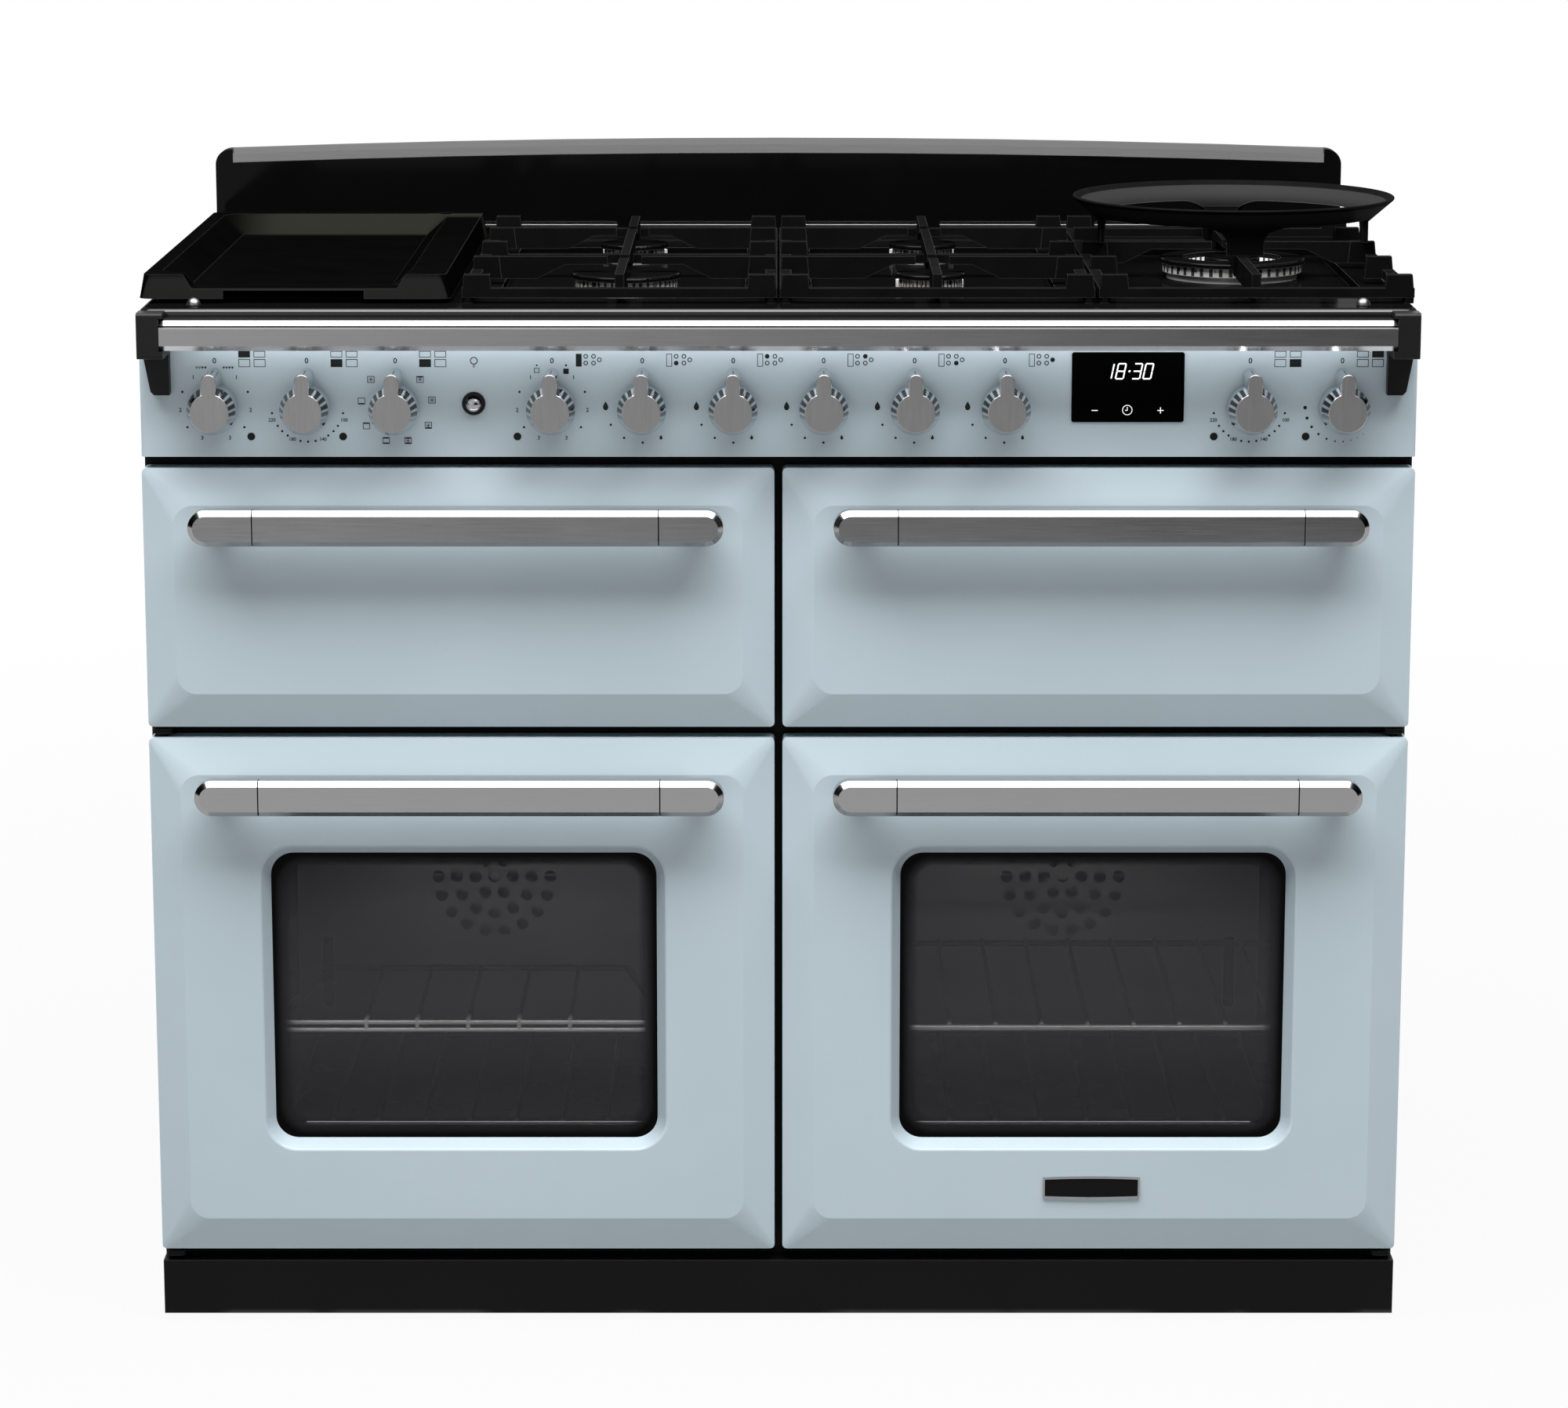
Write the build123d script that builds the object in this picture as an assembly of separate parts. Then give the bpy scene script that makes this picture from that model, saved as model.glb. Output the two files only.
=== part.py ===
from build123d import *
import math
import os

os.makedirs("parts", exist_ok=True)

# All sizes in mm. x runs across, y counts back from the flange plane of the doors, z up from the floor.

# Casing
WIDTH = 1092.0          # over the side panels
DRAWN_WIDTH = 1092.0    # width for which the places across the hob and the fascia are given
ACROSS = WIDTH / DRAWN_WIDTH
BODY_DEPTH = 600.0      # flange plane of the doors to the rear edge of the side panels
SHEET = 1.5             # casing and pressing sheet
SEAT_GAP = 0.3          # gap left between neighbours
RUN_GAP = 0.06          # radial running clearance of pins and spindles
FLANGE = 18.0           # turned-in flange of the side panels
BACK_RECESS = 27.0      # back panel face in from the rear edge of the side panels
BASE_Z = 58.0           # underside of the base tray
BASE_LIP = 14.0         # upturned edge of the base tray
FOOT_INSET_X = 62.0     # levelling foot centre in from the side
FOOT_FRONT_Y = 90.0     # front feet
FOOT_BACK_Y = 520.0     # back feet
FOOT_PAD_R = 21.0
FOOT_PAD_H = 9.0
FOOT_STEM_R = 5.0
FOOT_NUT_R = 9.0
FOOT_NUT_H = 7.0

# Stack of fronts
PLINTH_LIFT = 7.0       # plinth clear of the floor
PLINTH_H = 49.0
PLINTH_Y = 3.0          # plinth face behind the flange plane
PLINTH_GAP = 12.0       # plinth to lower doors
LOWER_H = 462.0
FRONT_GAP = 10.0        # between rows of fronts
UPPER_H = 226.0
FASCIA_H = 118.0
CENTRE_GAP = 7.0        # between left and right fronts
FRONT_SIDE = 1.0        # fronts in from the side panel face

# Pressed fronts
FIELD_RISE = 9.0        # raised field proud of the flange plane
BEVEL = 27.0            # sloped border at the sides
BEVEL_FOOT = 30.5       # sloped border at the foot
BEVEL_TOP = 31.0        # sloped border at the top
FIELD_R = 17.0          # corner of the raised field
EDGE_R = 4.0            # outer corner of a front
FIELD_SOFT = 2.5        # rolled edge round the raised field
FRONT_DEPTH = 22.0      # flange plane to the back of a front
WIN_W = 336.0           # glass opening of an oven door
WIN_H = 258.0
WIN_Z = 298.5           # centre height of the glass opening
WIN_R = 20.0
WIN_RIM = 8.0           # width of the sloped rim round the glass opening
WIN_SOFT = 3.0          # rolled edge of the rim at the field
WIN_LAND = 4.0          # flat of the rim that laps the field
WIN_SINK = 12.0         # field face to the foot of the rolled rim
PANE_T = 4.0
PANE_LAP = 14.0         # glass behind the edge of the opening

# Front frame, chambers
FRAME_Y = 28.0          # front face of the frame
FRAME_T = 2.5
FRAME_Z0 = 42.0         # skirt of the frame behind the plinth
OPEN_R = 10.0           # corners of the chamber openings
OVEN_W = 430.0
OVEN_H = 380.0
OVEN_Z0 = 110.0
OVEN_DEPTH = 440.0
UPPER_W = 455.0
UPPER_OPEN_H = 190.0
UPPER_LIFT = 16.0       # upper chamber floor above the foot of its front
UPPER_DEPTH = 425.0

# Hinges of the oven doors
HINGE_IN = 11.0         # pin axis in from the outer edge of the door
HINGE_Y = 11.0          # pin axis behind the flange plane
PIN_R = 4.0
PIN_L = 16.0            # pin engaged in the bush
HINGE_PLATE_T = 4.0
HINGE_PLATE_REACH = 7.0 # plate past the pin axis towards the front
HINGE_PLATE_W = 18.0
HINGE_LEG = 15.0        # leg of the bracket on the frame
HINGE_LEG_T = 3.0
BUSH_W = 16.0
BUSH_H = 30.0
BUSH_HOLE_GAP = 1.0     # pin hole in the door flange, wider than the pin
BUSH_CLEAR = 1.0        # bush block behind the flange plane
SEAL_W = 6.0            # door seal
SEAL_REACH = 10.0       # seal outside the oven opening
SEAL_PRESS = 0.4        # seal short of the frame with the door shut

# Handles
HANDLE_L = 455.0
HANDLE_H = 31.0
HANDLE_T = 17.0
HANDLE_FRONT = 48.0     # handle face in front of the flange plane
HANDLE_END = 55.0       # length of an end casting
HANDLE_EDGE = 4.5       # sloped edge round the front of the bar
HANDLE_SEAM = 0.6       # chamfer at the joint of bar and casting
POST_W = 30.0           # foot of an end casting on the front
POST_H = 20.0
POST_INSET = 23.0       # post centre from the tip of the casting
UPPER_HANDLE_Z = 721.0
LOWER_HANDLE_Z = 486.0

# Handrail
RAIL_FRONT = 50.0       # rail face in front of the flange plane
RAIL_T = 21.0
RAIL_H = 27.0
RAIL_Z0 = 873.0
RAIL_TOP = 8.0          # sloped top edge of the rail
RAIL_FOOT = 4.5         # sloped foot edge
RAIL_WALL = 2.0
BRACKET_W = 22.0
BRACKET_TOP = 905.0
BRACKET_FOOT = 830.5
BRACKET_LEG_T = 12.0
BRACKET_HEAD_Z = 866.0
BRACKET_TAPER = 6.0     # lower end of the leg in from the outer edge
BRACKET_LAP = 3.0       # rail end inside its bracket
BRACKET_EDGE = 3.0

# Hob
HOB_Z = 906.5           # top of the hob tray
HOB_FRONT = 28.0        # hob edge in front of the flange plane
HOB_IN = 5.0            # hob edge in from the side panels
HOB_R = 12.0
HOB_EDGE = 5.0
WELL_X0 = 29.0 * ACROSS # burner well from the middle of the hob
WELL_W = 213.0 * ACROSS
WELL_Y0 = 45.0
WELL_L = 406.0
WELL_DEPTH = 8.0
WELL_R = 15.0
WOK_WELL_X0 = 296.5 * ACROSS
STUD_X = 497.0 * ACROSS # dome nuts at the front corners of the hob
STUD_Y = 1.0
STUD_R = 6.0

# Burners
PAIR_X = 134.0 * ACROSS
FRONT_ROW = 154.0
REAR_ROW = 397.0
WOK_X = 411.0 * ACROSS
WOK_Y = 277.0
CAP_BIG_R = 48.0
CAP_MID_R = 31.0
CAP_WOK_R = 66.0
WOK_RING_W = 19.0       # width of the outer wok cap
WOK_INNER_R = 25.0
WOK_CUP_R = 52.0
CAP_T = 4.5
CAP_EDGE = 2.0
HEAD_H = 8.0
HEAD_STEP = 3.0         # head rim inside the cap edge
HEAD_WALL = 7.0
PORTS = 20              # flame ports round a head
PORT_W = 3.0
PORT_H = 4.5
CUP_H = 6.0
CUP_STEP = 7.0          # cup rim inside the cap edge
CUP_NECK_R = 17.0
CUP_NECK_H = 20.0
CUP_HOLE_GAP = 0.5
CUP_BORE_R = 9.0
SPARK_R = 3.2
SPARK_TIP_R = 1.3
SPARK_H = 9.0
SPARK_TIP_H = 5.0
SPARK_OUT = 7.0         # electrode outside the cap edge

# Pan supports
GRATE_W = 268.5 * ACROSS
GRATE_MID_GAP = 2.4     # between the two middle supports
WOK_GRATE_X0 = 273.0 * ACROSS
GRATE_Y0 = 8.0
GRATE_Y1 = 507.0
GRATE_Z = 931.0         # pan level
GRATE_BAR = 10.0        # width of the frame bars
GRATE_BAR_Z0 = 911.5
GRATE_BAR_Z1 = 919.5
LUG_W = 26.0
LUG_DRAFT = 2.0
FINGER_T = 8.0
FINGER_TIP_H = 7.0
FINGER_EASE = 25.0      # length of the taper under a finger
FINGER_CLEAR = 4.0      # taper starts this far outside the burner cap
FINGER_KEEP = 15.0      # finger tip from the burner centre
GRATE_FOOT_R = 5.0
MID_ROW = 277.0

# Griddle
GRID_X0 = 541.0 * ACROSS # left edge of the rim, from the middle of the hob
GRID_X1 = 283.0 * ACROSS
GRID_Y0 = 12.0
GRID_Y1 = 538.0
GRID_Z = 931.0
GRID_FLARE = 4.0        # foot of the wall outside the rim
GRID_R = 7.0
GRID_RIM = 13.0
GRID_RIM_RIGHT = 32.0   # rim on the side of the burners
GRID_WALL_RUN = 19.0    # slope of the inner wall
GRID_FLOOR = 3.5
GRID_BASIN_R = 22.0
DIP_DEPTH = 12.0        # pouring lip below the rim
DIP_X0 = 500.0 * ACROSS # ends of the pouring lip
DIP_X1 = 325.0 * ACROSS
DIP_SLOPE = 7.0
DIP_SOFT = 3.0
UNDER_H = 7.0           # recess in the foot of the front wall
UNDER_X0 = 473.0 * ACROSS
UNDER_X1 = 353.0 * ACROSS
UNDER_T = 6.0
GRID_HOOK_R = 7.0       # lifting notch at the back right corner
GRID_HOOK_IN = 3.0      # notch centre inside the basin edge

# Ceramic zone
GLASS_T = 4.0
GLASS_X0 = 533.0 * ACROSS
GLASS_X1 = 281.0 * ACROSS
GLASS_Y0 = 30.0
GLASS_Y1 = 522.0
GLASS_R = 10.0
GLASS_LAP = 11.0        # glass over the edge of its opening
DISH_IN = 21.0          # dish in from the edges of the glass
DISH_R = (GLASS_X0 - GLASS_X1) / 2 - DISH_IN
DISH_H = 22.0
DISH_WALL = 3.0
DISH_PITCH = 232.0

# Wok ring
WOK_RIM_R = 147.0 * ACROSS
WOK_RIM_Z = 973.0
WOK_LEG_R = 122.0 * ACROSS
WOK_LEG_Z = 951.0
WOK_WALL = 5.0
WOK_LEG_W = 33.0
WOK_ARCH_R = 16.0
WOK_EDGE = 1.3          # rounding of the rim

# Splashback
SPLASH_T = 18.0
SPLASH_IN = 2.0         # splashback in from the side panels
SPLASH_Z_MID = 997.0
SPLASH_Z_END = 987.0
SPLASH_R = 15.0
TRIM_H = 13.0
TRIM_X = 527.0 * ACROSS
TRIM_SLOPE = 5.0        # front of the trim set back at its top
VENT_W = 138.0 * ACROSS # vent slots at the foot of the splashback
VENT_H = 5.0
VENT_Z = 915.0
VENTS = 6
VENT_PITCH = 150.0 * ACROSS

# Controls
KNOB_Z = 820.0
KNOB_PLACES = [-480.5, -402.0, -326.5, -193.0, -116.0, -38.5, 38.5, 116.0, 193.0, 402.0, 480.5]
KNOB_X = [place * ACROSS for place in KNOB_PLACES]
KNOB_NAMES = ["knob_grill", "knob_oven_left", "knob_function", "knob_griddle", "knob_gas_front_left",
              "knob_gas_rear_left", "knob_gas_rear_right", "knob_gas_front_right", "knob_gas_wok",
              "knob_oven_right", "knob_drawer"]
GAS_FIRST = 4           # knobs 4 to 8 in the list sit on gas taps
GAS_LAST = 8
KNOB_R = 20.9           # at the collar
KNOB_FOOT_R = 19.6
KNOB_FACE_R = 16.6
KNOB_FRONT = 48.0
KNOB_COLLAR = 16.0      # collar behind the face
KNOB_GAP = 2.0
KNOB_TAB_W = 12.6
KNOB_TAB_L = 33.0
KNOB_EDGE = 1.0
KNOB_SOCKET = 14.0      # depth of the spindle socket
SPINDLE_R = 3.0
SPINDLE_BACK = 24.0
SPINDLE_HOLE = 5.0
LAMP_X = -260.0 * ACROSS
LAMP_Z = 822.0
LAMP_BEZEL_R = 10.0
LAMP_BEZEL_H = 3.0
LAMP_R = 6.5
LAMP_PROUD = 6.0
LAMP_L = 20.0
LAMP_DOME = 3.0
LAMP_STOP_R = 8.0
LAMP_STOP_T = 2.0
LAMP_TRAVEL = 3.0
NEON_R = 3.3
NEON_L = 9.0
NEON_DROP = 26.5        # neon lens below and beside its knob
NEON_SIDE = 30.0
NEON_KNOBS = [(0, 1), (1, 1), (3, -1), (9, -1), (10, -1)]
CLOCK_X = 298.0 * ACROSS
CLOCK_Z = 836.0
CLOCK_W = 96.0
CLOCK_H = 60.0
CLOCK_R = 2.0
CLOCK_PROUD = 1.0
CLOCK_BODY_W = 86.0
CLOCK_BODY_H = 50.0
CLOCK_BODY_D = 32.0
SWITCH_R = 19.0
SWITCH_Y0 = 8.0
SWITCH_Y1 = 40.0
NECK_R = 8.0

# Gas rail and pipes
TAP_W = 22.0
TAP_Z0 = 804.0
TAP_Z1 = 836.0
TAP_Y1 = 46.0
GAS_RAIL = 18.0         # square gas rail
GAS_WALL = 2.0
GAS_RAIL_Z0 = 808.0
GAS_RAIL_END = 30.0     # rail past the outer taps
FEED_R = 4.0
FEED_FRONT_Z = 850.0
FEED_REAR_Z = 858.0
FEED_BEND = 12.0
FEED_Y = 34.0
SUPPLY_R = 7.5
SUPPLY_BEND = 25.0
INLET_X = 470.0 * ACROSS
INLET_R = 10.48         # half of a half-inch pipe thread
INLET_L = 24.0
INLET_NUT_R = 14.0
INLET_NUT_L = 10.0
INLET_HOLE_GAP = 12.0

# Back panel fittings
TERM_X = -380.0 * ACROSS
TERM_Z = 640.0
TERM_W = 130.0
TERM_H = 90.0
TERM_D = 20.0
TERM_R = 6.0
GLAND_BORE_R = 7.0
GLAND_L = 18.0
LOUVRES = 9
LOUVRE_W = 70.0 * ACROSS
LOUVRE_H = 6.0
LOUVRE_PITCH = 95.0 * ACROSS
LOUVRE_Z = 840.0

# Fans
FAN_R = 74.0
FAN_HUB_R = 12.0
FAN_DISC_T = 1.5
FAN_BLADES = 10
FAN_BLADE_W = 15.0
FAN_BLADE_T = 1.5
FAN_BLADE_R0 = 46.0
FAN_BACK = 8.0          # fan disc in front of the oven back
FAN_SHAFT_R = 4.0
FAN_SHAFT_L = 34.0
FAN_HOLE_R = 7.0
MOTOR_R = 32.0
MOTOR_L = 46.0
RING_R = 92.0
RING_ROD = 3.5
RING_Y = 17.0           # ring element in front of the oven back
BAFFLE_W = 380.0
BAFFLE_H = 320.0
BAFFLE_D = 32.0
BAFFLE_R = 12.0
BAFFLE_HOLE = 6.0
BAFFLE_RINGS = [(0.0, 1), (18.0, 6), (36.0, 12), (54.0, 18)]
BAFFLE_SLOT_W = 10.0
BAFFLE_SLOT_H = 70.0
BAFFLE_SLOT_IN = 28.0
BAFFLE_SLOT_Z = 95.0

# Oven racks and shelves
LADDER_ROD = 3.0
RUNG_ROD = 2.5
LADDER_Z0 = 130.0
LADDER_Z1 = 455.0
LADDER_Y0 = 75.0
LADDER_Y1 = 345.0
RUNG_Y0 = 45.0
RUNG_Y1 = 375.0
RUNG_Z = [161.5, 251.5, 341.5, 431.5]
RUNG_STEP = 5.0         # rungs inside the uprights
SHELF_ROD = 3.0
SHELF_WIRE = 2.0
SHELF_Y0 = 48.0
SHELF_Y1 = 346.0
SHELF_WIRES = 9
SHELF_IN = 11.0         # shelf edge from the oven wall
SHELF_LEVELS = {-1: [0], 1: [0, 1]}

# Rack on the left oven door
RACK_SPREAD = 18.0      # arms at the door wider apart than the glass opening
RACK_TAPER = 84.0       # arms closer together at the far end
RACK_W0 = WIN_W + RACK_SPREAD
RACK_W1 = RACK_W0 - RACK_TAPER
RACK_Y1 = 222.0
RACK_Z = 266.0
RACK_ROD = 3.0
RACK_WIRE = 2.0
RACK_WIRES = 5
RACK_PLATE_W = 16.0
RACK_PLATE_H = 34.0
RACK_PLATE_T = 3.0
RACK_GUARD = 7.0        # second front rail below the first
RACK_GUARD_Y = 12.0

# Grill and drawer runners
CHANNEL_W = 13.0
CHANNEL_H = 30.0
CHANNEL_T = 1.5
CHANNEL_LIP = 5.0
CHANNEL_Z = 14.0        # channel above the chamber floor
CHANNEL_Y0 = 36.0
CHANNEL_L = 380.0
SLIDER_T = 5.0
SLIDER_WEB = 3.0
SLIDER_L = 384.0
LEDGE_W = 16.0
LEDGE_T = 2.0
PAN_H = 21.0
PAN_T = 1.5
PAN_R = 14.0
PAN_Y0 = 38.0
PAN_Y1 = 392.0
PAN_GAP = 4.0
TRIVET_ROD = 2.5
TRIVET_WIRES = 11
TRIVET_H = 16.0
TRIVET_IN = 12.0
DRAWER_H = 118.0
DRAWER_LIFT = 6.0
WELD_GAP = 0.1          # seam between welded sheets
ELEMENT_ROD = 3.5
ELEMENT_DROP = 17.0     # element below the chamber roof
ELEMENT_W = 180.0
ELEMENT_RUNS = 4
ELEMENT_Y0 = 80.0
ELEMENT_BEND = 14.0

# Derived positions
HALF = WIDTH / 2
FRONT_X0 = CENTRE_GAP / 2
FRONT_X1 = HALF - FRONT_SIDE
FRONT_W = FRONT_X1 - FRONT_X0
FRONT_MID = (FRONT_X0 + FRONT_X1) / 2
PLINTH_Z1 = PLINTH_LIFT + PLINTH_H
LOWER_Z0 = PLINTH_Z1 + PLINTH_GAP
LOWER_Z1 = LOWER_Z0 + LOWER_H
UPPER_Z0 = LOWER_Z1 + FRONT_GAP
UPPER_Z1 = UPPER_Z0 + UPPER_H
FASCIA_Z0 = UPPER_Z1 + FRONT_GAP
FASCIA_Z1 = FASCIA_Z0 + FASCIA_H
FRAME_BACK = FRAME_Y + FRAME_T
BACK_Y = BODY_DEPTH - BACK_RECESS
SPLASH_Y = BODY_DEPTH - SPLASH_T
HOB_HALF = HALF - HOB_IN
OVEN_BACK = FRAME_BACK + OVEN_DEPTH
OVEN_MID_Z = OVEN_Z0 + OVEN_H / 2
CHAMBER_Z0 = UPPER_Z0 + UPPER_LIFT
CHAMBER_Z1 = CHAMBER_Z0 + UPPER_OPEN_H
HINGE_X = FRONT_X1 - HINGE_IN
WELL_FLOOR = HOB_Z - WELL_DEPTH
SHIFT_Y = -(BODY_DEPTH - RAIL_FRONT) / 2


def block(x0, x1, y0, y1, z0, z1):
    """Plain block between two corners."""
    middle = Pos((x0 + x1) / 2, (y0 + y1) / 2, (z0 + z1) / 2)
    return middle * Box(abs(x1 - x0), abs(y1 - y0), abs(z1 - z0))


def front_plane(y, x=0.0, z=0.0):
    """Drawing plane that faces the front: local x across, local y up."""
    return Plane(origin=(x, y, z), x_dir=(1, 0, 0), z_dir=(0, -1, 0))


def rod(p, q, radius):
    """Round bar between two points."""
    start = Vector(*p)
    run = Vector(*q) - start
    return Solid.make_cylinder(radius, run.length, Plane(origin=start, z_dir=run))


def tube_y(x, z, y0, y1, radius):
    """Round bar along y."""
    return rod((x, y0, z), (x, y1, z), radius)


def disc(x, y, z0, z1, radius):
    """Round bar along z."""
    return rod((x, y, z0), (x, y, z1), radius)


def plate(width, height, radius, x, z, y0, y1):
    """Rounded plate in the x-z plane from y0 back to y1."""
    return extrude(front_plane(y1, x, z) * RectangleRounded(width, height, radius), y1 - y0)


def slab(width, depth, radius, x, y, z0, z1):
    """Rounded plate lying flat from z0 up to z1."""
    return extrude(Pos(x, y, z0) * RectangleRounded(width, depth, radius), z1 - z0)


def pipe(points, radius, bend):
    """Round rod or pipe bent along a line of points."""
    path = FilletPolyline(*points, radius=bend)
    start = Plane(origin=path @ 0, z_dir=path % 0)
    return sweep(start * Circle(radius), path=path)


def fuse(first, others):
    """One solid from a first piece and a list of pieces."""
    return first.fuse(*others)


def save(name, *pieces):
    """Move the pieces to the shared frame and write them as one node."""
    moved = [Pos(0, SHIFT_Y, 0) * piece for piece in pieces]
    shape = moved[0] if len(moved) == 1 else Compound(children=moved)
    export_step(shape, f"parts/{name}.step")


# Casing

def side_panel(side):
    """C-shaped side sheet with turned-in flanges front and back."""
    face = side * HALF
    inner = side * (HALF - SHEET)
    lip = side * (HALF - FLANGE)
    front = FRAME_BACK
    back = BODY_DEPTH
    outline = Polyline(
        (face, front), (face, back), (lip, back), (lip, back - SHEET), (inner, back - SHEET),
        (inner, front + SHEET), (lip, front + SHEET), (lip, front), close=True)
    return extrude(Pos(0, 0, BASE_Z) * make_face(outline), FASCIA_Z1 - BASE_Z)


def back_panel():
    """Recessed rear sheet with air slots and the hole of the gas inlet."""
    half = HALF - SHEET - SEAT_GAP
    sheet = block(-half, half, BACK_Y - SHEET, BACK_Y, BASE_Z, FASCIA_Z1 - SEAT_GAP)
    hole = tube_y(INLET_X, GAS_RAIL_Z0 + GAS_RAIL / 2, BACK_Y - FLANGE, BACK_Y + FLANGE,
                  INLET_R + INLET_HOLE_GAP)
    slots = []
    for i in range(LOUVRES):
        x = (i - (LOUVRES - 1) / 2) * LOUVRE_PITCH
        slot = front_plane(BACK_Y + SHEET, x, LOUVRE_Z) * SlotOverall(LOUVRE_W, LOUVRE_H)
        slots.append(extrude(slot, SHEET + SHEET + SHEET))
    return sheet - [hole] - slots


def terminal_cover():
    """Box cover over the mains terminals, open towards the back panel."""
    y1 = BACK_Y + TERM_D
    shell = plate(TERM_W, TERM_H, TERM_R, TERM_X, TERM_Z, BACK_Y, y1)
    shell = fillet(shell.faces().sort_by(Axis.Y)[-1].edges(), TERM_R / 2)
    hollow = plate(TERM_W - 2 * SHEET, TERM_H - 2 * SHEET, TERM_R - SHEET, TERM_X, TERM_Z,
                   BACK_Y, y1 - SHEET)
    foot = TERM_Z - TERM_H / 2
    middle = BACK_Y + TERM_D / 2
    entry = disc(TERM_X, middle, foot - SHEET, foot + SHEET + SHEET, GLAND_BORE_R)
    return shell - hollow - entry


def cable_gland():
    """Bare cable gland under the terminal cover."""
    top = TERM_Z - TERM_H / 2
    middle = BACK_Y + TERM_D / 2
    body = disc(TERM_X, middle, top - GLAND_L, top, TERM_D / 2 - SHEET)
    bore = disc(TERM_X, middle, top - GLAND_L, top, GLAND_BORE_R)
    return body - bore


def base_tray():
    """Floor sheet with an upturned edge."""
    half = HALF - SHEET - SEAT_GAP
    y0 = FRAME_BACK + SHEET + SEAT_GAP
    y1 = BACK_Y - SHEET
    outer = block(-half, half, y0, y1, BASE_Z, BASE_Z + BASE_LIP)
    inner = block(-half + SHEET, half - SHEET, y0 + SHEET, y1 - SHEET, BASE_Z + SHEET, BASE_Z + BASE_LIP)
    return outer - inner


def front_frame():
    """Black front sheet with the four chamber openings."""
    half = HALF - SEAT_GAP
    frame = block(-half, half, FRAME_Y, FRAME_BACK, FRAME_Z0, FASCIA_Z0)
    for side in (-1, 1):
        x = side * FRONT_MID
        frame -= plate(OVEN_W, OVEN_H, OPEN_R, x, OVEN_MID_Z, FRAME_Y, FRAME_BACK)
        frame -= plate(UPPER_W, UPPER_OPEN_H, OPEN_R, x, (CHAMBER_Z0 + CHAMBER_Z1) / 2, FRAME_Y, FRAME_BACK)
    return frame


def chamber(side, width, height, z_mid, depth):
    """Five-sided liner with a turned-out flange behind the front frame."""
    x = side * FRONT_MID
    y1 = FRAME_BACK + depth
    outer = plate(width + 2 * SHEET, height + 2 * SHEET, OPEN_R + SHEET, x, z_mid, FRAME_BACK, y1)
    flange = plate(width + FRONT_GAP, height + FRONT_GAP, OPEN_R + FRONT_GAP / 2, x, z_mid,
                   FRAME_BACK, FRAME_BACK + SHEET)
    inner = plate(width, height, OPEN_R, x, z_mid, FRAME_BACK, y1 - SHEET)
    return outer + flange - inner


def oven_liner(side):
    """Oven cavity with the shaft hole of the fan."""
    liner = chamber(side, OVEN_W, OVEN_H, OVEN_MID_Z, OVEN_DEPTH)
    return liner - tube_y(side * FRONT_MID, OVEN_MID_Z, OVEN_BACK - FLANGE, OVEN_BACK + FLANGE, FAN_HOLE_R)


def upper_chamber(side):
    """Grill or drawer chamber."""
    return chamber(side, UPPER_W, UPPER_OPEN_H, (CHAMBER_Z0 + CHAMBER_Z1) / 2, UPPER_DEPTH)


def plinth():
    """Folded plinth sheet with side returns and a turned-back top."""
    half = FRONT_X1
    y1 = FRAME_Y - HINGE_LEG_T - SEAT_GAP
    outer = block(-half, half, PLINTH_Y, y1, PLINTH_LIFT, PLINTH_Z1)
    inner = block(-half + SHEET, half - SHEET, PLINTH_Y + SHEET, y1, PLINTH_LIFT, PLINTH_Z1 - SHEET)
    return outer - inner


def levelling_foot(x, y):
    """Round pad, lock nut and threaded stem under the base tray."""
    foot = disc(x, y, 0, FOOT_PAD_H, FOOT_PAD_R)
    foot = chamfer(foot.edges().sort_by(Axis.Z)[-1], FOOT_PAD_H / 3)
    nut = extrude(Pos(x, y, FOOT_PAD_H) * RegularPolygon(FOOT_NUT_R, 6), FOOT_NUT_H)
    return foot + nut + disc(x, y, FOOT_PAD_H, BASE_Z, FOOT_STEM_R)


# Pressed fronts

def pressing(side, z0, z1):
    """Outer pressing: flanged edge, sloped border and raised field, open at the back."""
    x = side * FRONT_MID
    z = (z0 + z1) / 2
    height = z1 - z0
    drop = (BEVEL_FOOT - BEVEL_TOP) / 2

    def form(inset):
        edge_w = FRONT_W - 2 * inset
        edge_h = height - 2 * inset
        field_w = FRONT_W - 2 * BEVEL
        field_h = height - BEVEL_FOOT - BEVEL_TOP
        body = plate(edge_w, edge_h, EDGE_R - inset, x, z, inset, FRONT_DEPTH)
        foot = front_plane(inset, x, z) * RectangleRounded(edge_w, edge_h, EDGE_R - inset)
        top = front_plane(inset - FIELD_RISE, x, z + drop) * RectangleRounded(field_w, field_h, FIELD_R)
        field = loft([foot, top], ruled=True)
        field = fillet(field.faces().sort_by(Axis.Y)[0].edges(), FIELD_SOFT)
        return body + field

    return form(0.0) - form(SHEET)


def window_rim(side):
    """Rim of the glass opening: the field turned back towards the glass over a soft edge."""
    x = side * FRONT_MID
    reach = WIN_RIM + WIN_LAND
    y1 = WIN_SINK - FIELD_RISE

    def opening(y, grow):
        return front_plane(y, x, WIN_Z) * RectangleRounded(WIN_W + 2 * grow, WIN_H + 2 * grow, WIN_R + grow)

    def form(inset):
        y0 = inset - FIELD_RISE
        pad = plate(WIN_W + 2 * reach, WIN_H + 2 * reach, WIN_R + reach, x, WIN_Z, y0, y1)
        pad -= loft([opening(-FIELD_RISE, WIN_RIM + inset), opening(y1, inset)], ruled=True)
        mouth = pad.faces().sort_by(Axis.Y)[0].inner_wires()[0]
        return fillet(mouth.edges(), WIN_SOFT - inset)

    return form(0.0) - form(SHEET)


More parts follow.
